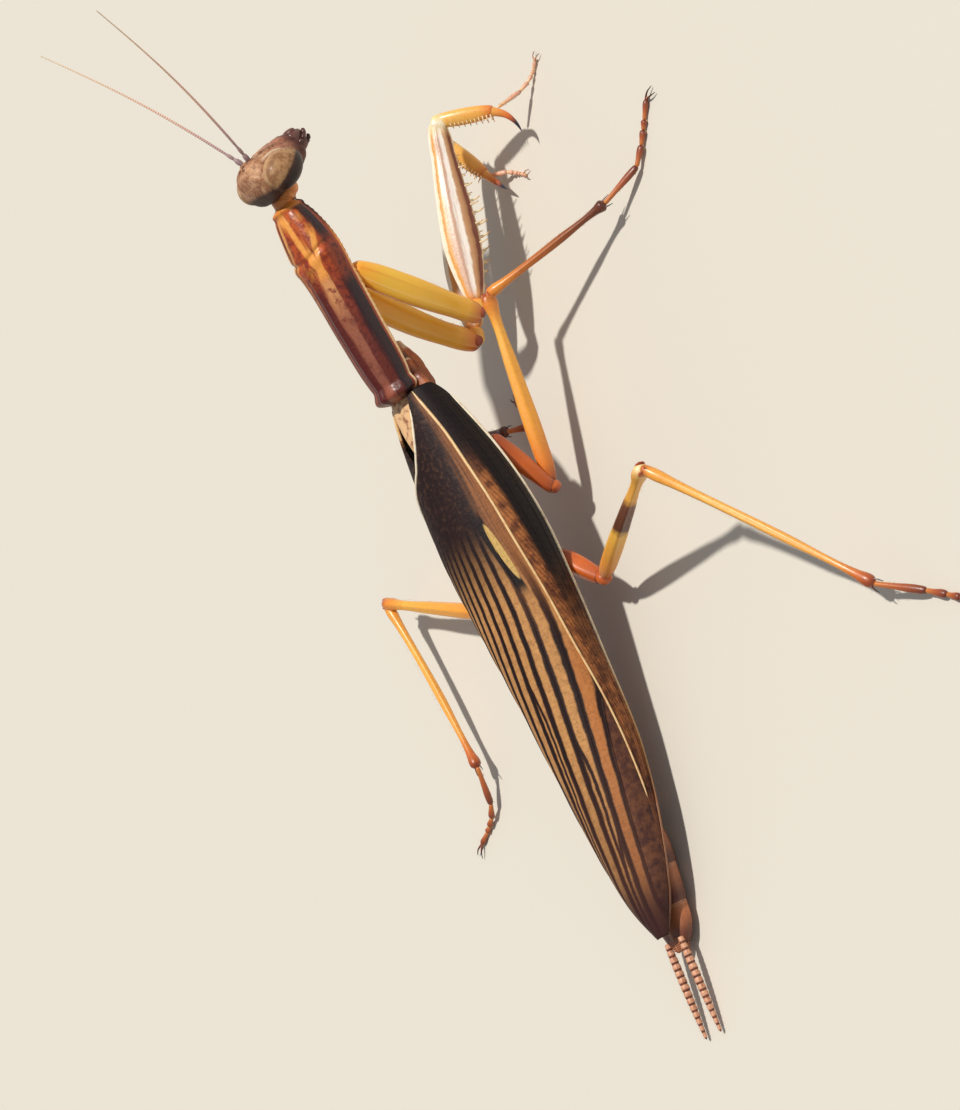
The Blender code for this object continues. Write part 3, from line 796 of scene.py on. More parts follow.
def fore_femur_paint():
    """Stripes along the flat of the femur, from the cream back to the brown edge that carries the spines."""
    paint = Paint("grasping femur", coat=0.3, scatter=0.12)
    paint.colour = paint.ramp(
        paint.up.line(0.5, 0.5) + paint.wander(1.3, 0.12, detail=4.0),
        (0.0, 252, 244, 226), (0.07, 248, 232, 200), (0.1, 226, 164, 84), (0.19, 222, 160, 84),
        (0.25, 214, 178, 152), (0.42, 206, 168, 146), (0.47, 240, 228, 218), (0.57, 248, 240, 228),
        (0.62, 196, 150, 108), (0.76, 172, 120, 76), (0.81, 108, 44, 24), (0.9, 122, 54, 26),
        (0.94, 232, 198, 150), (1.0, *CREAM),
    )
    paint.lay(paint.along.step(0.88, 0.98) * 0.85, (246, 222, 176))
    paint.lay(paint.along.step(0.08, 0.0) * 0.8, (222, 150, 72))
    streaks = paint.noise(0.12, 4.0, (1.0, 1.0, 2.0), marks=True)
    paint.lay(streaks.step(0.5, 0.75) * 0.4, (160, 108, 78))
    paint.grain(0.025, 0.15)
    paint.bump(paint.cells(0.3), 0.015)
    return paint.finish(0.3, 0.46)


PAINTS = {
    "head": head_paint(),
    "eye": eye_paint(),
    "ocellus": plain_paint(
        "ocellus", (128, 80, 44), DARK_BROWN, 0.1, 0.3, roughness=0.12, coat=0.8, depth=0.002
    ),
    "mouth": plain_paint("mouth cuticle", (104, 60, 54), (34, 16, 20), 0.3, 0.85, coat=0.15),
    "palp": plain_paint("palp cuticle", (84, 46, 42), (30, 16, 20), 0.3, 0.8, coat=0.15),
    "antenna": antenna_paint(),
    "membrane": membrane_paint(),
    "pronotum": pronotum_paint(),
    "thorax": segment_paint("thorax shell", 3, (168, 88, 40), (92, 36, 22), CREAM, (80, 30, 22)),
    "abdomen": segment_paint(
        "abdomen shell", ABDOMEN_RINGS, (176, 104, 62), (96, 48, 32), (188, 128, 94), (84, 42, 28)
    ),
    "scutum": plain_paint("wing base plate", (230, 186, 136), (128, 46, 28), 0.6, 0.9, roughness=0.5),
    "cercus": cercus_paint(),
    "wing": wing_paint(),
    "pale_vein": plain_paint("pale vein", (232, 194, 140), (190, 126, 74), 0.7, 0.6, coat=0.15),
    "margin": margin_paint(),
    "hindwing": plain_paint("hind wing", (62, 42, 40), (30, 20, 22), 0.9, 0.8, roughness=0.55, coat=0.05),
    "coxa": leg_paint(
        "walking coxa", (0.0, 140, 58, 28), (0.5, *ORANGE), (0.85, 186, 88, 34), (1.0, *MAROON)
    ),
    "femur": leg_paint(
        "walking femur", (0.0, 150, 60, 24), (0.1, 222, 126, 40), (0.3, 238, 160, 52), (0.8, 244, 176, 64),
        (0.94, 226, 136, 46), (0.99, 160, 66, 26),
    ),
    "banded_femur": leg_paint(
        "banded femur", (0.0, 206, 104, 34), (0.12, 236, 150, 48), (0.42, 250, 190, 76), (0.48, 84, 40, 18),
        (0.68, 112, 56, 22), (0.74, 246, 178, 66), (0.94, 240, 172, 66), (1.0, 250, 224, 170),
    ),
    "knee": leg_paint("walking knee", (0.0, 232, 146, 50), (0.6, 206, 106, 36), (1.0, 140, 56, 24)),
    "tibia": leg_paint(
        "walking tibia", (0.0, 176, 78, 30), (0.05, 236, 158, 58), (0.3, 244, 176, 68), (0.8, 236, 160, 60),
        (0.93, 200, 104, 40), (1.0, 140, 58, 28),
    ),
    "dark_tibia": leg_paint(
        "middle tibia", (0.0, 222, 128, 44), (0.1, 232, 146, 50), (0.3, 196, 112, 44), (0.65, 146, 78, 36),
        (0.92, 104, 50, 30), (1.0, 76, 32, 24),
    ),
    "tarsus": leg_paint("walking tarsus", (0.0, 206, 124, 54), (0.5, 170, 84, 40), (1.0, 96, 38, 26)),
    "pad": plain_paint("tarsal pad", PALE_TAN, TAN, 0.2, 0.5, roughness=0.6, coat=0.0),
    "claw": claw_paint("walking claw", (150, 70, 34), (70, 28, 18), BLACK_BROWN),
    "bristle": plain_paint("bristle", (204, 142, 76), CHESTNUT, 0.4, 0.4),
    "fore_coxa": fore_coxa_paint(),
    "lobe": leg_paint("coxal lobe", (0.0, 214, 130, 48), (0.45, 176, 70, 26), (1.0, 88, 22, 16)),
    "fore_femur": fore_femur_paint(),
    "pale_knee": leg_paint("pale knee", (0.0, 236, 196, 136), (0.5, 250, 236, 206), (1.0, 244, 206, 120)),
    "fore_tibia": leg_paint(
        "grasping tibia", (0.0, 248, 226, 180), (0.2, 240, 186, 96), (0.75, 240, 172, 74),
        (0.94, 222, 122, 48), (1.0, 196, 92, 36),
    ),
    "fore_tarsus": leg_paint("grasping tarsus", (0.0, 240, 190, 130), (0.6, 228, 170, 140), (1.0, *PINKISH)),
    "small_claw": claw_paint("grasping claw", PINKISH, (170, 110, 84), (96, 52, 40)),
    "spine": claw_paint("femur spine", CREAM, (240, 212, 160), (206, 150, 96), 0.6),
    "hook": claw_paint("tibia hook", (240, 172, 80), (214, 106, 44), (40, 36, 54), 0.5),
}


# ---- Head ----

HEAD_ROWS = [  # height, forward shift, half-width, half-depth
    (-4.5, -0.1, 0.9, 1.2), (-4.2, -0.1, 1.1, 1.45), (-3.4, -0.1, 1.35, 1.75), (-2.4, -0.05, 1.75, 1.95),
    (-1.2, 0.15, 2.35, 2.0), (0.0, 0.15, 2.75, 2.2), (1.4, 0.25, 2.8, 2.3), (2.3, 0.1, 2.5, 1.95),
    (2.75, 0.0, 1.7, 1.3), (2.9, -0.05, 0.4, 0.35),
]


def head_relief(depth, aside, height):
    """How far the head's surface stands out for its shield, rims, sockets and grooves."""
    side = np.abs(aside)
    front = soft_step(depth - 0.3, 0.4)
    shield = soft_step(1.25 + 0.25 * (height + 1.7) - side, 0.2) * soft_step(height + 2.45, 0.18)
    relief = 0.14 * front * shield * soft_step(-0.5 - height, 0.18)
    lip = soft_step(1.0 - side, 0.2) * soft_step(height + 3.75, 0.18) * soft_step(-2.65 - height, 0.15)
    relief += 0.1 * front * lip
    relief += 0.06 * front * ridge(side, 0.12) * soft_step(-0.8 - height, 0.3)
    parts = [(mark - middle) / half for mark, middle, half in zip((depth, side, height), EYE_PLACE, EYE_HALF)]
    orbit = np.sqrt(parts[0] ** 2 + parts[1] ** 2 + parts[2] ** 2)
    relief += 0.14 * ridge(orbit - 1.15, 0.07) * soft_step(depth + 0.3, 0.8) * soft_step(1.2 - height, 1.0)
    relief -= 0.02 * ridge(side - 1.05, 0.14) * soft_step(height - 1.4, 0.8)
    relief -= 0.02 * ridge(side, 0.1) * soft_step(height - 1.6, 0.6)
    socket = np.hypot(side - 0.6, height - 0.9)
    relief += front * (0.13 * ridge(socket - 0.4, 0.1) - 0.08 * ridge(socket, 0.25))
    relief -= 0.07 * ridge(side - 1.55 - 0.1 * height, 0.08) * soft_step(-0.9 - height, 0.4) * front
    return relief


def build_head():
    """The skull with its relief, and three ocelli on its crown."""
    head = Piece()
    heights = HEAD_ROWS[0][0] + (HEAD_ROWS[-1][0] - HEAD_ROWS[0][0]) * crowded(130)
    shift, wide, deep = (column[:, None] for column in smooth(HEAD_ROWS)(heights).T)
    cosines, sines = np.cos(turns(150)), np.sin(turns(150))
    depth, aside = shift + deep * squared(sines, SQUARENESS), wide * squared(cosines, SQUARENESS)
    height = np.broadcast_to(heights[:, None], depth.shape)
    push = head_relief(depth, aside, height)
    head.grid(FACE.at(depth + push * sines, aside + push * cosines, height), marks_of(depth, aside, height))
    for aside, height, size in ((0.0, 1.5, 0.18), (0.4, 1.95, 0.15), (-0.4, 1.95, 0.15)):
        shift, _, deep = smooth(HEAD_ROWS)(height)
        head.dome(FACE.at(shift + deep + 0.01, aside, height), FACE, (size, size, size), kind=1, sides=14)
    head.make("head_shell", ["head", "ocellus"], "head", "head")


def build_eye(name, sign):
    """A smooth egg, fuller toward the top of the head."""
    eye = Piece()
    depth, outward, height = ball(72)
    fuller = 1.0 + 0.06 * height
    x = EYE_PLACE[0] + EYE_HALF[0] * depth * fuller
    y = sign * (EYE_PLACE[1] + EYE_HALF[1] * outward * fuller)
    z = EYE_PLACE[2] + EYE_HALF[2] * height
    eye.grid(FACE.at(x, y, z), marks_of(depth, outward, height))
    eye.make(f"{name}_facets", ["eye"], "eyes", name)


def build_antenna(name, sign, outward, upward):
    """Scape and pedicel, then a ringed thread."""
    share = np.linspace(0.0, 1.0, 540)
    reach = (ANTENNA_LENGTH + 0.25) * share + 0.2
    path = np.array((2.25, sign * 0.6, 0.9)) + np.outer(reach, unit((0.9, sign * outward, upward)))
    path += np.outer(-0.6 * np.sin(np.pi * share), UP)
    rows = [
        (0.0, 0.16), (0.008, 0.22), (0.04, 0.23), (0.05, 0.14), (0.06, 0.18), (0.08, 0.17), (0.09, 0.13),
        (0.12, 0.13), (0.5, 0.1), (1.0, 0.05),
    ]
    rings = 1.0 + 0.12 * np.sin(2.0 * math.pi * ANTENNA_RINGS * share) * soft_step(share - 0.1, 0.02)
    width = smooth(rows)(share)[:, 0] * rings * np.sqrt(np.clip((1.0 - share) * 180.0, 0.02, 1.0))
    antenna = Piece()
    antenna.grid(*sweep(FACE.at(*path.T), width[:, None], sides=12))
    antenna.make(f"{name}_thread", ["antenna"], "antennae", name)


def build_mouthparts():
    """Lip plate, mandibles, galeae, labium and the two pairs of palps."""
    mouth = Piece()
    ahead = FACE.forward
    lip = [(0.0, 0.85, 0.34), (0.35, 0.92, 0.36), (0.75, 0.75, 0.3), (1.0, 0.45, 0.2)]
    mouth.limb(FACE.at(1.15, 0.0, -4.1), FACE.at(0.95, 0.0, -5.5), lip, ahead, power=2.4)
    labium = [(0.0, 0.85, 0.6), (0.6, 0.75, 0.5), (1.0, 0.45, 0.3)]
    mouth.limb(FACE.at(-0.75, 0.0, -3.9), FACE.at(-0.6, 0.0, -5.9), labium, ahead)
    mandible = [(0.0, 0.45, 0.75), (0.4, 0.45, 0.7), (0.8, 0.32, 0.45), (1.0, 0.16, 0.22)]
    galea = [(0.0, 0.34, 0.4), (0.5, 0.32, 0.36), (1.0, 0.18, 0.2)]
    upper = [(-0.2, 0.8, -4.2), (-0.15, 1.15, -4.75), (0.05, 1.05, -5.4), (0.4, 0.65, -5.85)]
    lower = [(-0.75, 0.4, -5.0), (-0.8, 0.65, -5.55), (-0.35, 0.5, -5.95)]
    for sign in (-1, 1):
        start, end = FACE.at(0.4, sign * 0.66, -3.9), FACE.at(0.45, sign * 0.2, -5.75)
        mouth.limb(start, end, mandible, ahead, bow=FACE.left * sign * 0.16)
        mouth.limb(FACE.at(-0.25, sign * 0.55, -4.3), FACE.at(-0.05, sign * 0.26, -6.05), galea, ahead)
        for joints, thick in ((upper, 0.23), (lower, 0.19)):
            rows = [(0.0, thick * 0.9), (0.6, thick), (1.0, thick * 0.95)]
            places = [FACE.at(x, sign * y, z) for x, y, z in joints]
            for start, end in zip(places, places[1:]):
                mouth.limb(start, end, rows, ahead, kind=1, steps=14, sides=12)
    mouth.make("mouthparts_detail", ["mouth", "palp"], "mouthparts", "mouthparts")


def build_neck():
    """A folded membrane from the chest to the back of the head, with a small plate on each side."""
    neck = Piece()
    stops = [
        CHEST.at(CHEST_LENGTH - 1.0, -0.05, -0.35), CHEST.at(CHEST_LENGTH + 0.6, -0.25, -0.3),
        FACE.at(-1.9, 0.0, -0.35), FACE.at(-0.9, 0.0, -0.3),
    ]
    rows = [(0.0, 1.15, 1.0), (0.4, 1.2, 1.1), (0.7, 1.1, 1.0), (1.0, 0.9, 0.8)]

    def folds(along, cosines, sines):
        return 0.07 * np.sin(along * 2.0 * math.pi * 6.0) + 0.04 * np.cos(5.0 * np.arctan2(sines, cosines))

    sizes = smooth(rows)(np.linspace(0.0, 1.0, 60))
    neck.grid(*sweep(path_through(stops, 60), sizes, sides=40, relief=folds))
    for sign in (-1, 1):
        start = CHEST.at(CHEST_LENGTH - 0.6, sign * 0.85 - 0.1, -0.7)
        end = CHEST.at(CHEST_LENGTH + 1.5, sign * 0.8 - 0.35, -0.7)
        neck.limb(start, end, [(0.0, 0.3, 0.35), (0.5, 0.36, 0.45), (1.0, 0.25, 0.3)], kind=1)
    neck.make("neck_membrane", ["membrane", "thorax"], "neck", "neck")


# ---- Trunk ----

def trunk(axes, rows, rings, sides, relief, bend=None):
    """Rings along the axes' forward line. Rows: place, middle height, half-width, half-height."""
    rows = sorted(rows)
    share = crowded(rings)
    x = rows[0][0] + (rows[-1][0] - rows[0][0]) * share
    middle, wide, high = (column[:, None] for column in smooth(rows)(x).T)
    x = x[:, None]
    turn = turns(sides)
    aside, above = np.sin(turn), np.cos(turn)
    push = relief(x, turn)
    y = wide * squared(aside, SQUARENESS) + push * aside + (bend(x) if bend else 0.0)
    z = middle + high * squared(above, SQUARENESS) + push * above
    points = axes.at(np.broadcast_to(x, y.shape), y, z)
    return points, marks_of(share[:, None], aside, above)


def from_top(turn):
    """Degrees from the top, positive on the left."""
    degrees = np.degrees(turn)
    return np.where(degrees > 180.0, degrees - 360.0, degrees)


def build_pronotum():
    """The long first segment: a keel, a groove over the fore coxae, toothed margins and coxal sockets."""
    length = CHEST_LENGTH
    rows = [
        (-0.25, 0.2, 1.4, 0.85), (0.0, 0.25, 2.05, 1.35), (0.08 * length, 0.1, 2.4, 1.75),
        (0.35 * length, -0.15, 2.6, 2.15), (0.6 * length, -0.4, 2.75, 2.2),
        (0.74 * length, -0.45, 2.95, 2.25), (0.86 * length, -0.45, 2.6, 2.0),
        (0.96 * length, -0.35, 1.95, 1.5), (length, -0.3, 1.4, 1.1), (length + 0.25, -0.3, 0.8, 0.7),
    ]

    def relief(x, turn):
        angle, place = from_top(turn), x / length
        side = np.abs(angle)
        upper = soft_step(np.cos(turn), 0.3)
        grown = 0.2 * ridge(angle, 6.0) * soft_step(0.7 - place, 0.06)
        grown += 0.1 * ridge(angle, 5.0) * soft_step(place - 0.8, 0.05)
        teeth = 1.0 + 0.45 * np.maximum(0.0, np.sin(x * 2.0 * math.pi / 0.55)) * soft_step(place - 0.35, 0.3)
        grown += 0.13 * teeth * ridge(side - 116.0, 5.0)
        groove = place - 0.735 - 0.035 * np.abs(np.sin(turn)) ** 2
        grown -= 0.2 * ridge(groove, 0.011) * upper
        grown += 0.1 * ridge(groove + 0.035, 0.02) * upper
        forked = ridge(side - 24.0, 9.0) * soft_step(place - 0.77, 0.05) * soft_step(0.97 - place, 0.04)
        grown -= 0.1 * forked
        grown -= 0.08 * ridge(side - 55.0, 14.0) * soft_step(0.66 - place, 0.1)
        grown -= 0.35 * ridge(place - 0.66, 0.07) * ridge(side - 145.0, 20.0)
        grown += 0.04 * ridge(place - 0.015, 0.012) * upper
        grown += 0.1 * ridge(place - 0.985, 0.01)
        return grown - 0.1 * ridge(side - 180.0, 8.0) * soft_step(0.95 - place, 0.05)

    chest = Piece()
    chest.grid(*trunk(CHEST, rows, 300, 150, relief))
    chest.make("pronotum_shell", ["pronotum"], "pronotum", "pronotum")


def build_thorax():
    """Middle and hind thorax: a nose under the pronotum, seamed plates, wing bases and a fold in front."""
    rows = [
        (5.6, -2.25, 0.35, 0.35), (5.2, -2.3, 0.5, 0.5), (3.0, -2.8, 1.0, 1.0), (0.6, -2.95, 1.3, 1.1),
        (-0.8, -2.7, 1.6, 1.7), (-3.0, -3.4, 2.05, 2.4), (-6.0, -3.4, 2.5, 2.65), (-9.0, -3.1, 3.0, 2.8),
        (-16.0, -2.9, 3.3, 2.8), (-THORAX_LENGTH - 0.3, -2.8, 3.3, 2.6),
    ]

    def relief(x, turn):
        angle = np.abs(from_top(turn))
        grown = -0.22 * ridge(x + 11.5, 0.35) - 0.14 * ridge(x + 5.5, 0.25) - 0.14 * ridge(x + 17.5, 0.25)
        grown = grown - 0.14 * ridge(x - 0.2, 0.25)
        grown = grown - 0.12 * ridge(angle - 180.0, 5.0) - 0.12 * ridge(angle - 128.0, 4.0)
        for place in (-7.0, -18.5):
            grown += 0.3 * ridge(x - place, 1.6) * ridge(angle - 132.0, 16.0)
        return grown + 0.05 * np.sin(x * 2.3 + angle * 0.09)

    thorax = Piece()
    thorax.grid(*trunk(BODY, rows, 260, 100, relief))
    scutum = [(0.0, 1.9, 0.7), (0.2, 2.35, 0.9), (0.6, 2.2, 0.9), (0.85, 1.5, 0.7), (1.0, 0.8, 0.45)]
    wrinkles = ribbed(0.06, 7)
    thorax.limb(BODY.at(1.5, 0.1, -0.35), BODY.at(-7.5, 0.0, 0.2), scutum, kind=1, relief=wrinkles, sides=48)
    hinge = [(0.0, 0.9, 0.6), (0.4, 1.15, 0.7), (1.0, 0.6, 0.45)]
    for sign, kind in ((-1, 0), (1, 1)):
        start, end = BODY.at(1.5, sign * 1.9, -0.9), BODY.at(-5.0, sign * 2.5, -1.7)
        thorax.limb(start, end, hinge, kind=kind, relief=ribbed(0.05, 4), sides=28)
    fold = [(0.0, 1.5, 1.2), (0.5, 1.5, 1.1), (1.0, 0.9, 0.7)]
    thorax.limb(BODY.at(-1.0, 0.0, -1.7), BODY.at(5.5, -0.1, -1.2), fold, relief=wrinkles, sides=40)
    thorax.make("thorax_shell", ["thorax", "scutum"], "thorax", "thorax")


def abdomen_bend(x):
    """How far the abdomen has curved to the left at each place."""
    behind = np.maximum(0.0, -x - THORAX_LENGTH) / ABDOMEN_LENGTH
    return ABDOMEN_BEND * behind**2


def build_abdomen():
    """Rings, each rim over the next, with side folds; an end plate above and a keeled plate below."""
    start = -THORAX_LENGTH + 0.1
    length = ABDOMEN_LENGTH + 0.2
    end = start - length
    shares = [
        (0.0, -2.7, 3.3, 2.4), (0.12, -2.8, 3.8, 2.6), (0.4, -3.0, 3.4, 2.35), (0.6, -3.2, 2.45, 1.85),
        (0.76, -3.45, 2.5, 1.35), (0.88, -2.7, 2.35, 1.3), (0.96, -2.4, 2.0, 1.0), (1.0, -2.15, 1.3, 0.6),
    ]
    rows = [(start - at * length, z, wide, high) for at, z, wide, high in shares]

    def relief(x, turn):
        angle = np.abs(from_top(turn))
        ring = np.mod((x - end) / length * ABDOMEN_RINGS, 1.0)
        step = 0.16 * (1.0 - ring) - 0.12 * ridge(ring, 0.06)
        fold = -0.22 * ridge(angle - 112.0, 5.0) + 0.1 * ridge(angle - 103.0, 5.0)
        return step + fold + 0.08 * ridge(angle, 7.0) - 0.05

    abdomen = Piece()
    abdomen.grid(*trunk(BODY, rows, 330, 110, relief, bend=abdomen_bend))
    middle = float(abdomen_bend(end))
    plate = [(0.0, 0.9, 0.2), (0.5, 0.85, 0.2), (1.0, 0.4, 0.12)]
    abdomen.limb(BODY.at(end + 1.2, middle, -1.55), BODY.at(end - 0.7, middle, -1.5), plate)
    keel = [(0.0, 0.9, 0.35), (0.6, 0.6, 0.35), (1.0, 0.2, 0.16)]
    abdomen.limb(BODY.at(end + 1.6, middle, -2.75), BODY.at(end - 1.0, middle, -2.5), keel)
    abdomen.make("abdomen_shell", ["abdomen"], "abdomen", "abdomen")


def build_cercus(name, sign):
    """Beads that shrink toward the tip, with fine hairs."""
    x = -THORAX_LENGTH - ABDOMEN_LENGTH + 0.5
    root = BODY.at(x, float(abdomen_bend(x)) + sign * 1.1, -1.45)
    yaw = math.radians(BODY_YAW)
    way = unit((-math.cos(yaw), -math.sin(yaw) + sign * 0.01, -CERCUS_FALL))
    share = np.linspace(0.0, 1.0, 200)
    path = root + np.outer(share * (CERCUS_LENGTH + 0.9), way)
    width = smooth([(0.0, 0.3), (0.25, 0.4), (0.75, 0.3), (1.0, 0.13)])(share)[:, 0]
    beads = np.abs(np.sin(np.pi * CERCUS_BEADS * share)) ** 0.5
    width = width * (0.8 + 0.2 * beads) * np.sqrt(np.clip((1.0 - share) * 40.0, 0.03, 1.0))
    cercus = Piece()
    points, marks = sweep(path, width[:, None])
    cercus.grid(points, marks)
    feet = points[8:-4:5, ::4].reshape(-1, 3)
    out = feet - np.repeat(path[8:-4:5], 5, axis=0)
    cercus.bristles(feet, unit(out) + way * 0.9, 0.32, 0.015, kind=1)
    cercus.make(f"{name}_rings", ["cercus", "bristle"], "cerci", name)


# ---- Wings ----

WING_ROWS = [  # place, scale of the roof, height of its widest line
    (0.0, 0.50, -1.1), (0.05, 0.62, -1.4), (0.15, 0.82, -2.0), (0.30, 0.96, -2.4), (0.40, 0.93, -2.5),
    (0.54, 0.86, -2.5), (0.70, 0.78, -2.3), (0.85, 0.61, -1.6), (0.94, 0.40, -0.9), (1.0, 0.12, -0.2),
]
RADIUS_ROWS = [  # place, degrees from the top to the radius vein
    (0.0, 44.0), (0.085, 54.0), (0.16, 56.0), (0.24, 59.0), (0.325, 62.0), (0.415, 68.0), (0.505, 73.0),
    (0.6, 81.0), (0.69, 86.0), (0.78, 90.0), (1.0, 93.0),
]
STRIPE_ROWS = [  # place, lateral middle of the numbered veins on the right cover, and the step between them
    (0.0, -1.6, 0.35), (0.1, -2.0, 0.56), (0.2, -2.2, 0.78), (0.3, -2.0, 0.99), (0.42, -1.45, 1.25),
    (0.55, -0.02, 1.52), (0.69, 1.36, 1.6), (0.8, 2.35, 1.6), (1.0, 4.15, 1.5),
]
INNER_EDGES = {  # places, and degrees outward from the top, on the right (-1) and on the left (1)
    -1: ((0.0, 0.05, 0.1, 0.13, 0.16, 0.2), (34.0, 21.0, 4.0, -9.0, -35.0, -62.0)),
    1: ((0.0, 0.03, 0.06, 0.09, 0.12, 0.15), (74.0, 65.0, 49.0, 30.0, 15.0, 8.0)),
}
VEIN_NUMBERS = range(-4, 9)
OUTER_STRIPE = -3.0  # stripes with lower numbers are narrower
OUTER_SCALE = 0.74
PALE, MARGIN, DARK = range(3)  # the veins' paints, in the order that they are given to make


def wing_point(at, angle, depth):
    """A point of a wing cover. The angle is in degrees from the top, right ones negative."""
    at, angle = np.broadcast_arrays(np.asarray(at, float), np.asarray(angle, float))
    size, middle = np.moveaxis(smooth(WING_ROWS)(at), -1, 0)
    turn = np.radians(angle)
    wide = np.maximum(WING_HALF_WIDTH * size - depth, 0.3)
    high = np.maximum(WING_ARCH * size - depth, 0.1)
    drop = 1.1 * WING_ARCH * size * np.maximum(0.0, -np.cos(turn))
    rise = high * np.maximum(np.cos(turn), 0.0) - drop
    return BODY.at(-at * WING_LENGTH, wide * np.sin(turn), middle + rise)


def half_width(at):
    return WING_HALF_WIDTH * smooth(WING_ROWS)(at)[..., 0]


def margin_angle(at):
    """Degrees outward to the outer margin."""
    return 118.0 - 23.0 * np.clip((np.asarray(at, float) - 0.7) / 0.22, 0.0, 1.0)


def radius_angle(at):
    return smooth(RADIUS_ROWS)(at)[..., 0]


def inner_angle(side, at):
    """Degrees outward to the inner edge; the right cover's runs from its radius well over the left cover."""
    return np.interp(at, *INNER_EDGES[side])


def stripe_angle(at, number):
    """Degrees outward to a numbered vein of the fan; veins that run off the side stay at 90."""
    middle, pitch = np.moveaxis(smooth(STRIPE_ROWS)(at), -1, 0)
    if number < OUTER_STRIPE:
        number = OUTER_STRIPE + (number - OUTER_STRIPE) * OUTER_SCALE
    return np.degrees(np.arcsin(np.clip(-(middle + number * pitch) / half_width(at), -1.0, 1.0)))


def wing_marks(at, outward):
    """Marks of a point on a cover: its place, its stripe, and how far it is inside the radius."""
    lateral = -half_width(at) * np.sin(np.radians(outward))
    middle, pitch = np.moveaxis(smooth(STRIPE_ROWS)(at), -1, 0)
    stripe = (lateral - middle) / pitch
    stripe = np.where(stripe < OUTER_STRIPE, OUTER_STRIPE + (stripe - OUTER_STRIPE) / OUTER_SCALE, stripe)
    return marks_of(at, stripe, (radius_angle(at) - outward) / FIELD_DEGREES)


def add_vein(piece, side, at, outward, depth, thick, kind):
    """A raised vein along a line of the cover."""
    path = wing_point(at, side * outward, depth)
    share = np.linspace(0.0, 1.0, len(at))
    size = thick * (1.0 - 0.45 * share) * np.sqrt(np.clip(np.minimum(share, 1.0 - share) * 30.0, 0.05, 1.0))
    points, _ = sweep(path, size[:, None], sides=6)
    piece.grid(points, np.repeat(wing_marks(at, outward)[:, None], 6, axis=1), kind)


def build_forewing(name, side, depth, last):
    """One wing cover: a thin arched sheet, its veins and the net between them. Side is -1 for the right."""
    cover = Piece()
    share = np.linspace(0.0, 1.0, 130)[None, :]
    start = 0.004 + 0.03 * np.clip((0.4 - share) / 0.4, 0.0, 1.0) ** 2
    at = start + (last - start) * np.linspace(0.0, 1.0, 260)[:, None] ** 0.95
    outer = margin_angle(at)
    outward = outer + (inner_angle(side, at) - outer) * share
    points = wing_point(at, side * outward, depth + 0.03 * ridge(share, 0.03))
    cover.grid(points, wing_marks(at, outward), closed=False)
    cover.make(f"{name}_sheet", ["wing"], "forewings", name, thickness=WING_SHEET)

    veins = Piece()
    top = depth - 0.02
    run = np.linspace(0.034, last - 0.004, 150)
    add_vein(veins, side, run, margin_angle(run) - 0.5, top, 0.2, MARGIN)
    margin = np.linspace(0.04, 0.8, 130)
    for part in (0.25, 0.5, 0.75):
        line = between(radius_angle(margin), margin_angle(margin), part)
        add_vein(veins, side, margin, line, top, 0.07, DARK)
    radius = np.linspace(0.008, 0.79, 150)
    add_vein(veins, side, radius, radius_angle(radius), top - 0.02, 0.16, PALE)
    thick = 0.09 * (0.25 + 0.75 * soft_step(run - 0.32, 0.25))
    edge = inner_angle(side, run)
    for number in VEIN_NUMBERS:
        line = stripe_angle(run, number)
        shown = (line < radius_angle(run) - 2.0) & (line > np.maximum(edge + 2.0, -75.0)) & (run > 0.04)
        if shown.sum() > 12:
            add_vein(veins, side, run[shown], line[shown], top + 0.02, thick[shown], DARK)
    width, kind = (0.14, MARGIN) if side < 0 else (0.09, DARK)
    add_vein(veins, side, run, edge + 0.6, top, width, kind)
    add_net(veins, side, top + 0.03, last)
    veins.make(f"{name}_veins", ["pale_vein", "margin", "wing"], "forewings")


def add_net(veins, side, depth, last):
    """Short cross veins: slanted ones in the costal field and ladders between the fan's veins."""
    for i, at in enumerate(np.arange(0.05, last - 0.05, 0.0135)):
        limit = float(radius_angle(at))
        for number in VEIN_NUMBERS:
            start, end = float(stripe_angle(at, number)), float(stripe_angle(at, number - 1))
            if start < max(inner_angle(side, at) + 1.0, -70.0) or end > limit - 1.0:
                continue
            place = at + 0.0045 * math.sin(7.3 * i + 2.9 * number)
            add_vein(veins, side, np.full(5, place), np.linspace(start, end, 5), depth, 0.04, DARK)
        if margin_angle(at) > limit + 6.0:
            lean = np.linspace(at, at + 0.03, 9)
            line = between(radius_angle(lean), margin_angle(lean) - 1.0, np.linspace(0.0, 1.0, 9))
            add_vein(veins, side, lean, line, depth, 0.05, DARK)


def build_hindwings():
    """The folded hind wings, seen past the covers' tips: pleated sheets one on the other."""
    wings = Piece()
    at = np.linspace(0.7, 0.975, 90)[:, None]
    for layer in range(3):
        angle = np.linspace(-64.0 + 5.0 * layer, 56.0 - 4.0 * layer, 120)[None, :]
        pleat = 0.05 * np.cos(np.radians(angle) * 22.0) * soft_step(0.98 - at, 0.1)
        points = wing_point(at, angle, 1.0 + 0.16 * layer + pleat)
        wings.grid(points, marks_of(at, angle / FIELD_DEGREES, 0.0 * at), closed=False)
    wings.make("hindwings_folded", ["hindwing"], "hindwings", "hindwings", thickness=0.08)


# ---- Legs ----

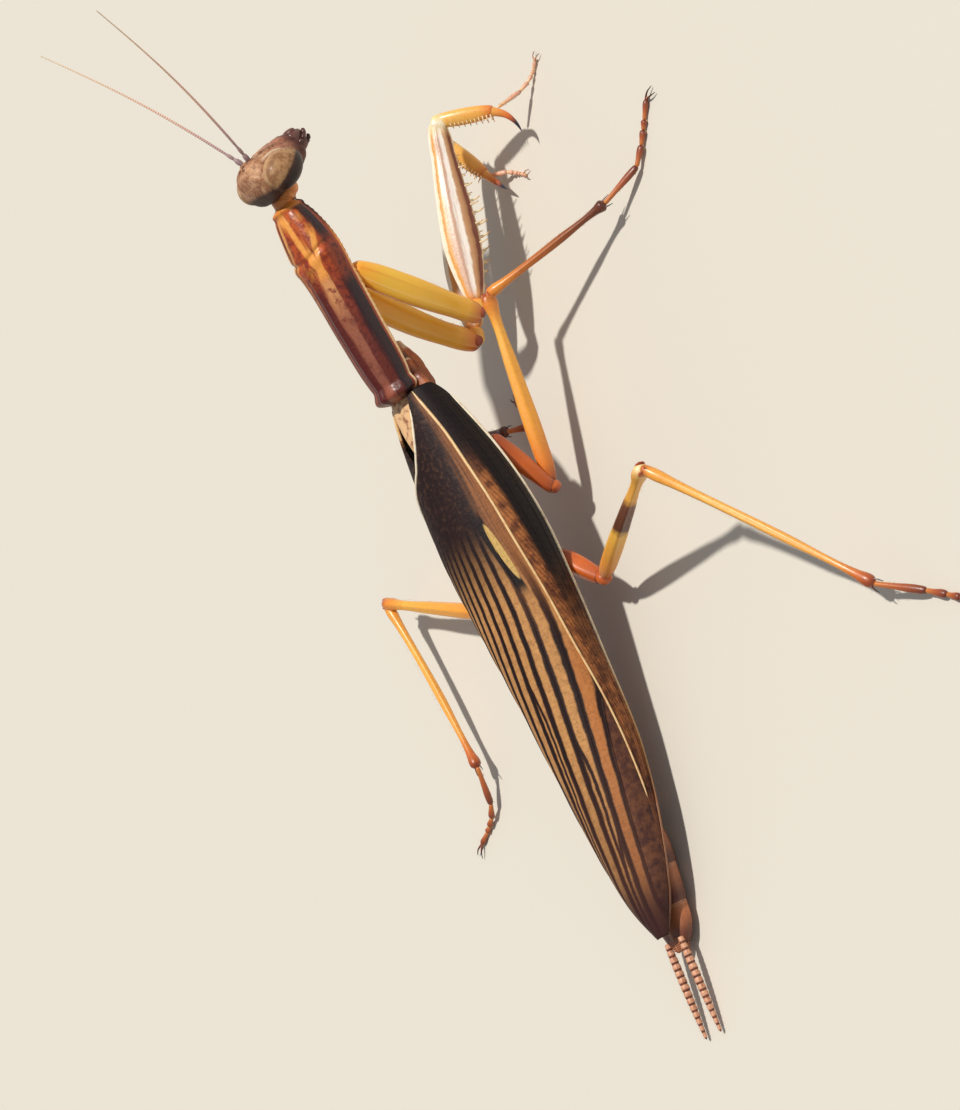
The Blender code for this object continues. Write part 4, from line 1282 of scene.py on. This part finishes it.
def tarsus_chain(name, joints, shares, radius, slot, paints):
    """Five foot segments, each flared at its end with a pad below, and two hooked claws."""
    foot = Piece()
    ankle, heel, toe, tip = joints
    instep = between(heel, toe, 0.5) * (1.0, 1.0, 0.0) + (0.0, 0.0, 0.34)
    path = path_through([ankle, heel, instep, toe], 101)
    places = [path[int(round(mark * 100))] for mark in np.cumsum((0.0, *shares))]
    for i, (start, end) in enumerate(zip(places, places[1:])):
        size = radius * (1.0 - 0.05 * i)
        rows = [
            (0.0, size * 0.62, size * 0.62), (0.3, size * 0.7, size * 0.66), (0.85, size, size * 0.85),
            (1.0, size * 0.8, size * 0.7),
        ]
        foot.limb(between(start, end, -0.03), between(start, end, 1.02), rows, steps=20, sides=16)
        pad = between(start, end, 0.86) - (0.0, 0.0, size * 0.55)
        if i < 4:
            foot.dome(pad, BODY, (size * 0.8, size * 0.7, size * 0.4), kind=1, sides=10)
    foot.hairs(places[0], places[1], radius * 0.8, 70, 0.3, 3, seed=len(name))
    way = unit(tip - toe)
    side = unit(np.cross(way, UP))
    for sign in (-1, 1):
        bend = between(toe, tip, 0.45) + side * sign * 0.32 + UP * 0.16
        foot.horn([toe - way * 0.1, bend, between(toe, tip, 0.8) + side * sign * 0.45], radius * 0.34, kind=2)
    foot.dome(between(toe, tip, 0.1), BODY, (0.2, 0.18, 0.13), kind=1, sides=12)
    foot.make(f"{name}_segments", paints, slot, name)


def build_walking_leg(name, joints):
    root, hip, knee, ankle, heel, toe, tip = joints
    build_walking_coxa(name, root, hip)
    build_walking_femur(name, hip, knee)
    build_walking_tibia(name, knee, ankle)
    shares = (0.42, 0.19, 0.13, 0.09, 0.17)
    paints = ["tarsus", "pad", "claw", "bristle"]
    tarsus_chain(f"tarsus_{name}", (ankle, heel, toe, tip), shares, 0.38, "tarsi", paints)


def build_walking_coxa(name, root, hip):
    """A ribbed cone, and the folded socket where it leaves the thorax."""
    coxa = Piece()
    rows = [(0.0, 0.8), (0.3, 1.0), (0.72, 0.88), (1.0, 0.66)]
    start, end = between(root, hip, -0.18), between(root, hip, 1.02)
    coxa.limb(start, end, rows, relief=ribbed(0.07, 4), sides=36, steps=60)
    socket = BODY.at((root - BODY.origin) @ BODY.forward, math.copysign(1.2, root[1]), -3.4)
    rows = [(0.0, 1.3), (0.6, 1.1), (1.0, 0.85)]
    coxa.limb(socket, between(root, hip, 0.12), rows, kind=2, relief=ribbed(0.06, 5), sides=36)
    coxa.hairs(root, hip, 0.88, 60, 0.25, 1, seed=3)
    coxa.make(f"coxa_{name}_shell", ["coxa", "bristle", "membrane"], "coxae", f"coxa_{name}")


def build_walking_femur(name, hip, knee):
    """A round trochanter, then the ribbed femur with two lobes and a spur at the knee."""
    femur = Piece()
    bulb = between(hip, knee, 0.75 / np.linalg.norm(knee - hip))
    rows = [(0.0, 0.66, 0.7), (0.6, 0.74, 0.78), (1.0, 0.6, 0.62)]
    femur.limb(between(hip, bulb, -0.5), between(hip, bulb, 1.35), rows, kind=1, sides=28)
    rows = [
        (0.0, 0.5, 0.55), (0.08, 0.74, 0.8), (0.2, 0.8, 0.9), (0.6, 0.64, 0.74), (0.88, 0.54, 0.6),
        (0.955, 0.66, 0.82), (1.0, 0.52, 0.62),
    ]
    femur.limb(bulb, between(hip, knee, 1.012), rows, relief=ribbed(0.045, 6, 0.5), sides=36, steps=90)
    way = unit(knee - hip)
    side = unit(np.cross(way, UP))
    rows = [(0.0, 0.12, 0.3), (0.6, 0.2, 0.5), (1.0, 0.12, 0.34)]
    femur.pair(knee, side * 0.46, way * 0.9, way * 0.32, rows, kind=2, steps=20, sides=16)
    spur = [knee + side * 0.2, knee + side * 0.3 + way * 0.5, knee + side * 0.32 + way * 0.9]
    femur.horn(spur, 0.12, kind=2)
    femur.hairs(bulb, knee, 0.7, 160, 0.2, 3, seed=5)
    shell = "banded_femur" if name == "hind_right" else "femur"
    femur.make(f"femur_{name}_shell", [shell, "coxa", "knee", "bristle"], "walking_legs", f"femur_{name}")


def build_walking_tibia(name, knee, ankle):
    """A thin shin that sags a little, with fine hairs all along and two spurs at the ankle."""
    tibia = Piece()
    sag = -0.012 * np.linalg.norm(ankle - knee) * UP
    rows = [
        (0.0, 0.42, 0.42), (0.05, 0.56, 0.56), (0.14, 0.46, 0.46), (0.6, 0.42, 0.42), (0.92, 0.44, 0.44),
        (0.975, 0.6, 0.58), (1.0, 0.48, 0.46),
    ]
    start = between(knee, ankle, -0.006)
    tibia.limb(start, ankle, rows, bow=sag, relief=ribbed(0.03, 5), sides=30, steps=110)
    shin = unit(ankle - knee)
    across = unit(np.cross(shin, UP))
    for sign in (-1, 1):
        foot = ankle + across * sign * 0.3 - shin * 0.4
        spur = [foot, foot + shin * 0.6 + across * sign * 0.2, foot + shin * 1.05 + across * sign * 0.27]
        tibia.horn(spur, 0.1, kind=2)
    tibia.hairs(knee, ankle, 0.44, 240, 0.22, 1, seed=7)
    shell = "dark_tibia" if name.startswith("mid") else "tibia"
    tibia.make(f"tibia_{name}_shell", [shell, "bristle", "claw"], "walking_legs", f"tibia_{name}")


def build_grasping_leg(name, joints):
    root, hip, knee, wrist, hook, bend, toe, tip = joints
    build_grasping_coxa(name, root, hip, knee)
    build_grasping_femur(name, hip, knee, -1 if name.endswith("right") else 1)
    build_grasping_tibia(name, hip, knee, wrist, hook)
    joints = (between(wrist, bend, 0.12), bend, between(toe, tip, 0.4), tip)
    shares = (0.46, 0.18, 0.12, 0.09, 0.15)
    paints = ["fore_tarsus", "fore_tarsus", "small_claw", "bristle"]
    tarsus_chain(f"tarsus_{name}", joints, shares, 0.26, "fore_tarsi", paints)


def build_grasping_coxa(name, root, hip, knee):
    """Three-edged, with a row of small teeth down its front edge and two dark lobes at its tip."""
    coxa = Piece()
    rows = [
        (0.0, 0.8, 0.8), (0.1, 1.15, 1.15), (0.35, 1.25, 1.4), (0.75, 1.03, 1.2), (0.93, 0.95, 1.1),
        (1.0, 0.72, 0.82),
    ]
    ahead = unit(knee - hip)
    ribs = ribbed(0.13, 3, 0.5 * math.pi)
    outward = math.copysign(1.0, root[1])
    start = between(root, hip, -0.14) - (0.0, 1.5 * outward, 0.3)
    end = between(root, hip, 1.03)
    sag = np.array((-0.4, 0.15 + 0.6 * outward, 0.0))
    coxa.limb(start, end, rows, ahead, relief=ribs, sides=44, steps=90, bow=sag)
    way = unit(hip - root)
    side = unit(np.cross(way, ahead))
    front = np.cross(side, way)
    for share in np.linspace(0.26, 0.88, 9):
        foot = between(start, end, share) + front * (1.0 + 0.2 * math.sin(math.pi * share))
        foot = foot + sag * math.sin(math.pi * share)
        tooth = [foot - front * 0.1, foot + front * 0.12, foot + front * 0.24 + way * 0.08]
        coxa.horn(tooth, 0.08, kind=1, steps=8)
    rows = [(0.0, 0.24, 0.4), (0.6, 0.4, 0.62), (1.0, 0.24, 0.42)]
    coxa.pair(hip, side * 0.55, way * 0.9, way * 0.42, rows, ahead, kind=2)
    coxa.make(f"coxa_{name}_shell", ["fore_coxa", "spine", "lobe"], "fore_coxae", f"coxa_{name}")


def build_grasping_femur(name, hip, knee, outside):
    """Flat and deep, with two ventral rows of spines, a row of long ones between and lobes at the knee."""
    femur = Piece()
    way = unit(knee - hip)
    side = unit(np.cross(way, FEMUR_DEEP_WAY))
    down = np.cross(side, way)
    start = between(hip, knee, 1.25 / np.linalg.norm(knee - hip))
    rows = [(0.0, 0.7, 0.75), (0.5, 0.8, 0.9), (1.0, 0.62, 0.72)]
    femur.limb(hip - way * 0.5, start + way * 0.5, rows, down, kind=2, sides=28)
    rows = [
        (0.0, 0.6, 0.75), (0.07, 0.8, 1.15), (0.27, 1.03, 1.88), (0.5, 1.0, 1.8), (0.8, 0.82, 1.25),
        (0.93, 0.82, 1.05), (1.0, 0.58, 0.68),
    ]

    def relief(along, cosines, sines):
        bed = soft_step(sines, 0.3) * soft_step(0.8 - along, 0.2) * soft_step(along - 0.1, 0.1)
        grown = -0.28 * ridge(cosines, 0.3) * bed
        grown = grown + 0.07 * ridge(sines + 0.25, 0.1) + 0.06 * ridge(sines - 0.45, 0.08)
        return grown + 0.1 * ridge(sines + 1.0, 0.02)

    femur.limb(start, knee + way * 0.05, rows, down, power=2.25, relief=relief, sides=72, steps=120)
    size = smooth(rows)
    spine_rows = (  # count, place across, first and last share, length, thickness
        (13, -0.62, 0.16, 0.8, 0.3, 0.08), (5, 0.62, 0.3, 0.72, 0.6, 0.12), (4, 0.0, 0.34, 0.54, 1.05, 0.14),
    )
    for count, offset, first, last, length, thick in spine_rows:
        for i, share in enumerate(np.linspace(first, last, count)):
            wide, deep = size(share)
            tall = length * (1.0 - 0.25 * abs(i / (count - 1) - 0.4))
            foot = between(start, knee, share) + down * deep * 0.82 + side * outside * offset * wide
            lean = down + side * outside * offset * 0.25
            middle = foot + lean * (0.3 + tall * 0.5) + way * 0.08
            femur.horn([foot, middle, foot + lean * (0.3 + tall) + way * 0.35 * tall], thick, kind=1)
    rows = [(0.0, 0.2, 0.5), (0.6, 0.34, 0.78), (1.0, 0.2, 0.45)]
    for sign in (-1, 1):
        lobe = knee + side * sign * 0.5 + down * 0.15
        femur.limb(lobe - way * 1.3, lobe + way * 0.5, rows, down, kind=3, sides=24)
        spur = [lobe + way * 0.2, lobe + way * 0.5 + down * 0.25, lobe + way * 0.6 + down * 0.5]
        femur.horn(spur, 0.12, kind=1, steps=8)
    paints = ["fore_femur", "spine", "fore_tibia", "pale_knee"]
    femur.make(f"femur_{name}_shell", paints, "fore_femora", f"femur_{name}")


def build_grasping_tibia(name, hip, knee, wrist, hook):
    """A short arm with a row of teeth on each inner edge and a long curved hook."""
    tibia = Piece()
    way = unit(wrist - knee)
    side = unit(np.cross(way, unit(hip - knee)))
    inner = np.cross(side, way)
    rows = [(0.0, 0.5, 0.55), (0.1, 0.64, 0.74), (0.25, 0.74, 0.8), (0.85, 0.62, 0.68), (1.0, 0.48, 0.5)]
    ribs = ribbed(0.05, 3, -0.5 * math.pi)
    tibia.limb(knee - way * 0.1, wrist, rows, inner, relief=ribs, sides=32, steps=60)
    outward = unit(hook - wrist)
    lift = way * np.linalg.norm(hook - wrist)
    bend = between(wrist, hook, 0.3) + lift * 0.12, between(wrist, hook, 0.7) + lift * 0.1
    tibia.horn([wrist - way * 0.5, *bend, hook], 0.5, kind=1, steps=40, sides=16, tip=0.04, hint=side)
    for sign, count in ((-1, 11), (1, 8)):
        for share in np.linspace(0.24, 0.93, count):
            foot = between(knee, wrist, share) + inner * 0.5 + side * sign * 0.4
            tall = 0.35 + 0.2 * share
            tooth = foot + inner * tall + outward * 0.08 + way * 0.2 * tall
            tibia.horn([foot, foot + inner * tall * 0.6 + way * 0.05, tooth], 0.09, kind=2, steps=8)
    tibia.make(f"tibia_{name}_shell", ["fore_tibia", "hook", "spine"], "fore_tibiae", f"tibia_{name}")


# ---- Stage ----

VIEW_AXES = (  # right, up, back
    (-0.2165, -0.5390, -0.8140), (0.9270, -0.3750, 0.0017), (-0.3052, -0.7544, 0.5810),
)
VIEW_DISTANCE = 330.0  # from the floor plan's origin
VIEW_LENS = 124.34
VIEW_SHIFT = (-64.0 / 960.0, -145.2 / 960.0)  # places the animal as it stands in the 960 x 1110 frame
SUN_WAY = (0.36, -0.24, 0.90)  # toward the light: above the animal, a little ahead and to its right
SUN_ENERGY = 3.3
SUN_COLOUR = (1.0, 0.96, 0.9)
SUN_ANGLE = math.radians(3.0)
SKY_COLOUR = (0.90, 0.94, 1.0, 1.0)
SKY_STRENGTH = 0.34
FLOOR_COLOUR = (214, 208, 196)
FLOOR_HALF = 1.2  # metres


def add_camera():
    right, up, back = (Vector(axis) for axis in VIEW_AXES)
    back.normalize()
    right = (right - right.dot(back) * back).normalized()
    up = back.cross(right)
    data = bpy.data.cameras.new("camera")
    data.sensor_fit = "HORIZONTAL"
    data.sensor_width = 36.0
    data.lens = VIEW_LENS
    data.shift_x, data.shift_y = VIEW_SHIFT
    data.clip_start = 0.01
    data.clip_end = 10.0
    camera = add_object("camera", data)
    place = back * VIEW_DISTANCE - Vector(CENTRE)
    camera.matrix_world = Matrix.Translation(place * MM) @ Matrix((right, up, back)).transposed().to_4x4()
    bpy.context.scene.camera = camera


def add_lights():
    sun = bpy.data.lights.new("key", "SUN")
    sun.energy = SUN_ENERGY
    sun.angle = SUN_ANGLE
    sun.color = SUN_COLOUR
    add_object("key", sun).rotation_euler = Vector(SUN_WAY).to_track_quat("Z", "Y").to_euler()
    world = bpy.data.worlds.new("studio")
    world.use_nodes = True
    sky = world.node_tree.nodes["Background"].inputs
    sky["Color"].default_value = SKY_COLOUR
    sky["Strength"].default_value = SKY_STRENGTH
    bpy.context.scene.world = world


def add_floor():
    mesh = bpy.data.meshes.new("floor")
    corners = [(x * FLOOR_HALF, y * FLOOR_HALF, 0.0) for x, y in ((-1, -1), (1, -1), (1, 1), (-1, 1))]
    mesh.from_pydata(corners, [], [(0, 1, 2, 3)])
    paint = bpy.data.materials.new("pale floor")
    paint.use_nodes = True
    shader = paint.node_tree.nodes["Principled BSDF"]
    shader.inputs["Base Color"].default_value = linear(FLOOR_COLOUR)
    shader.inputs["Roughness"].default_value = 0.8
    mesh.materials.append(paint)
    add_object("floor", mesh)


build_head()
build_eye("eye_left", 1)
build_eye("eye_right", -1)
build_antenna("antenna_left", 1, 0.37, 0.075)
build_antenna("antenna_right", -1, 0.28, 0.14)
build_mouthparts()
build_neck()
build_pronotum()
build_thorax()
build_abdomen()
build_cercus("cercus_left", 1)
build_cercus("cercus_right", -1)
build_forewing("forewing_right", -1, 0.0, 1.0)
build_forewing("forewing_left", 1, 0.5, 0.985)
build_hindwings()
for leg_name, leg_joints in WALKING_LEGS.items():
    build_walking_leg(leg_name, np.array(leg_joints))
for leg_name, leg_joints in GRASPING_LEGS.items():
    build_grasping_leg(leg_name, np.array(leg_joints))
add_camera()
add_lights()
add_floor()
bpy.context.scene.view_settings.view_transform = "Standard"
bpy.context.view_layer.update()
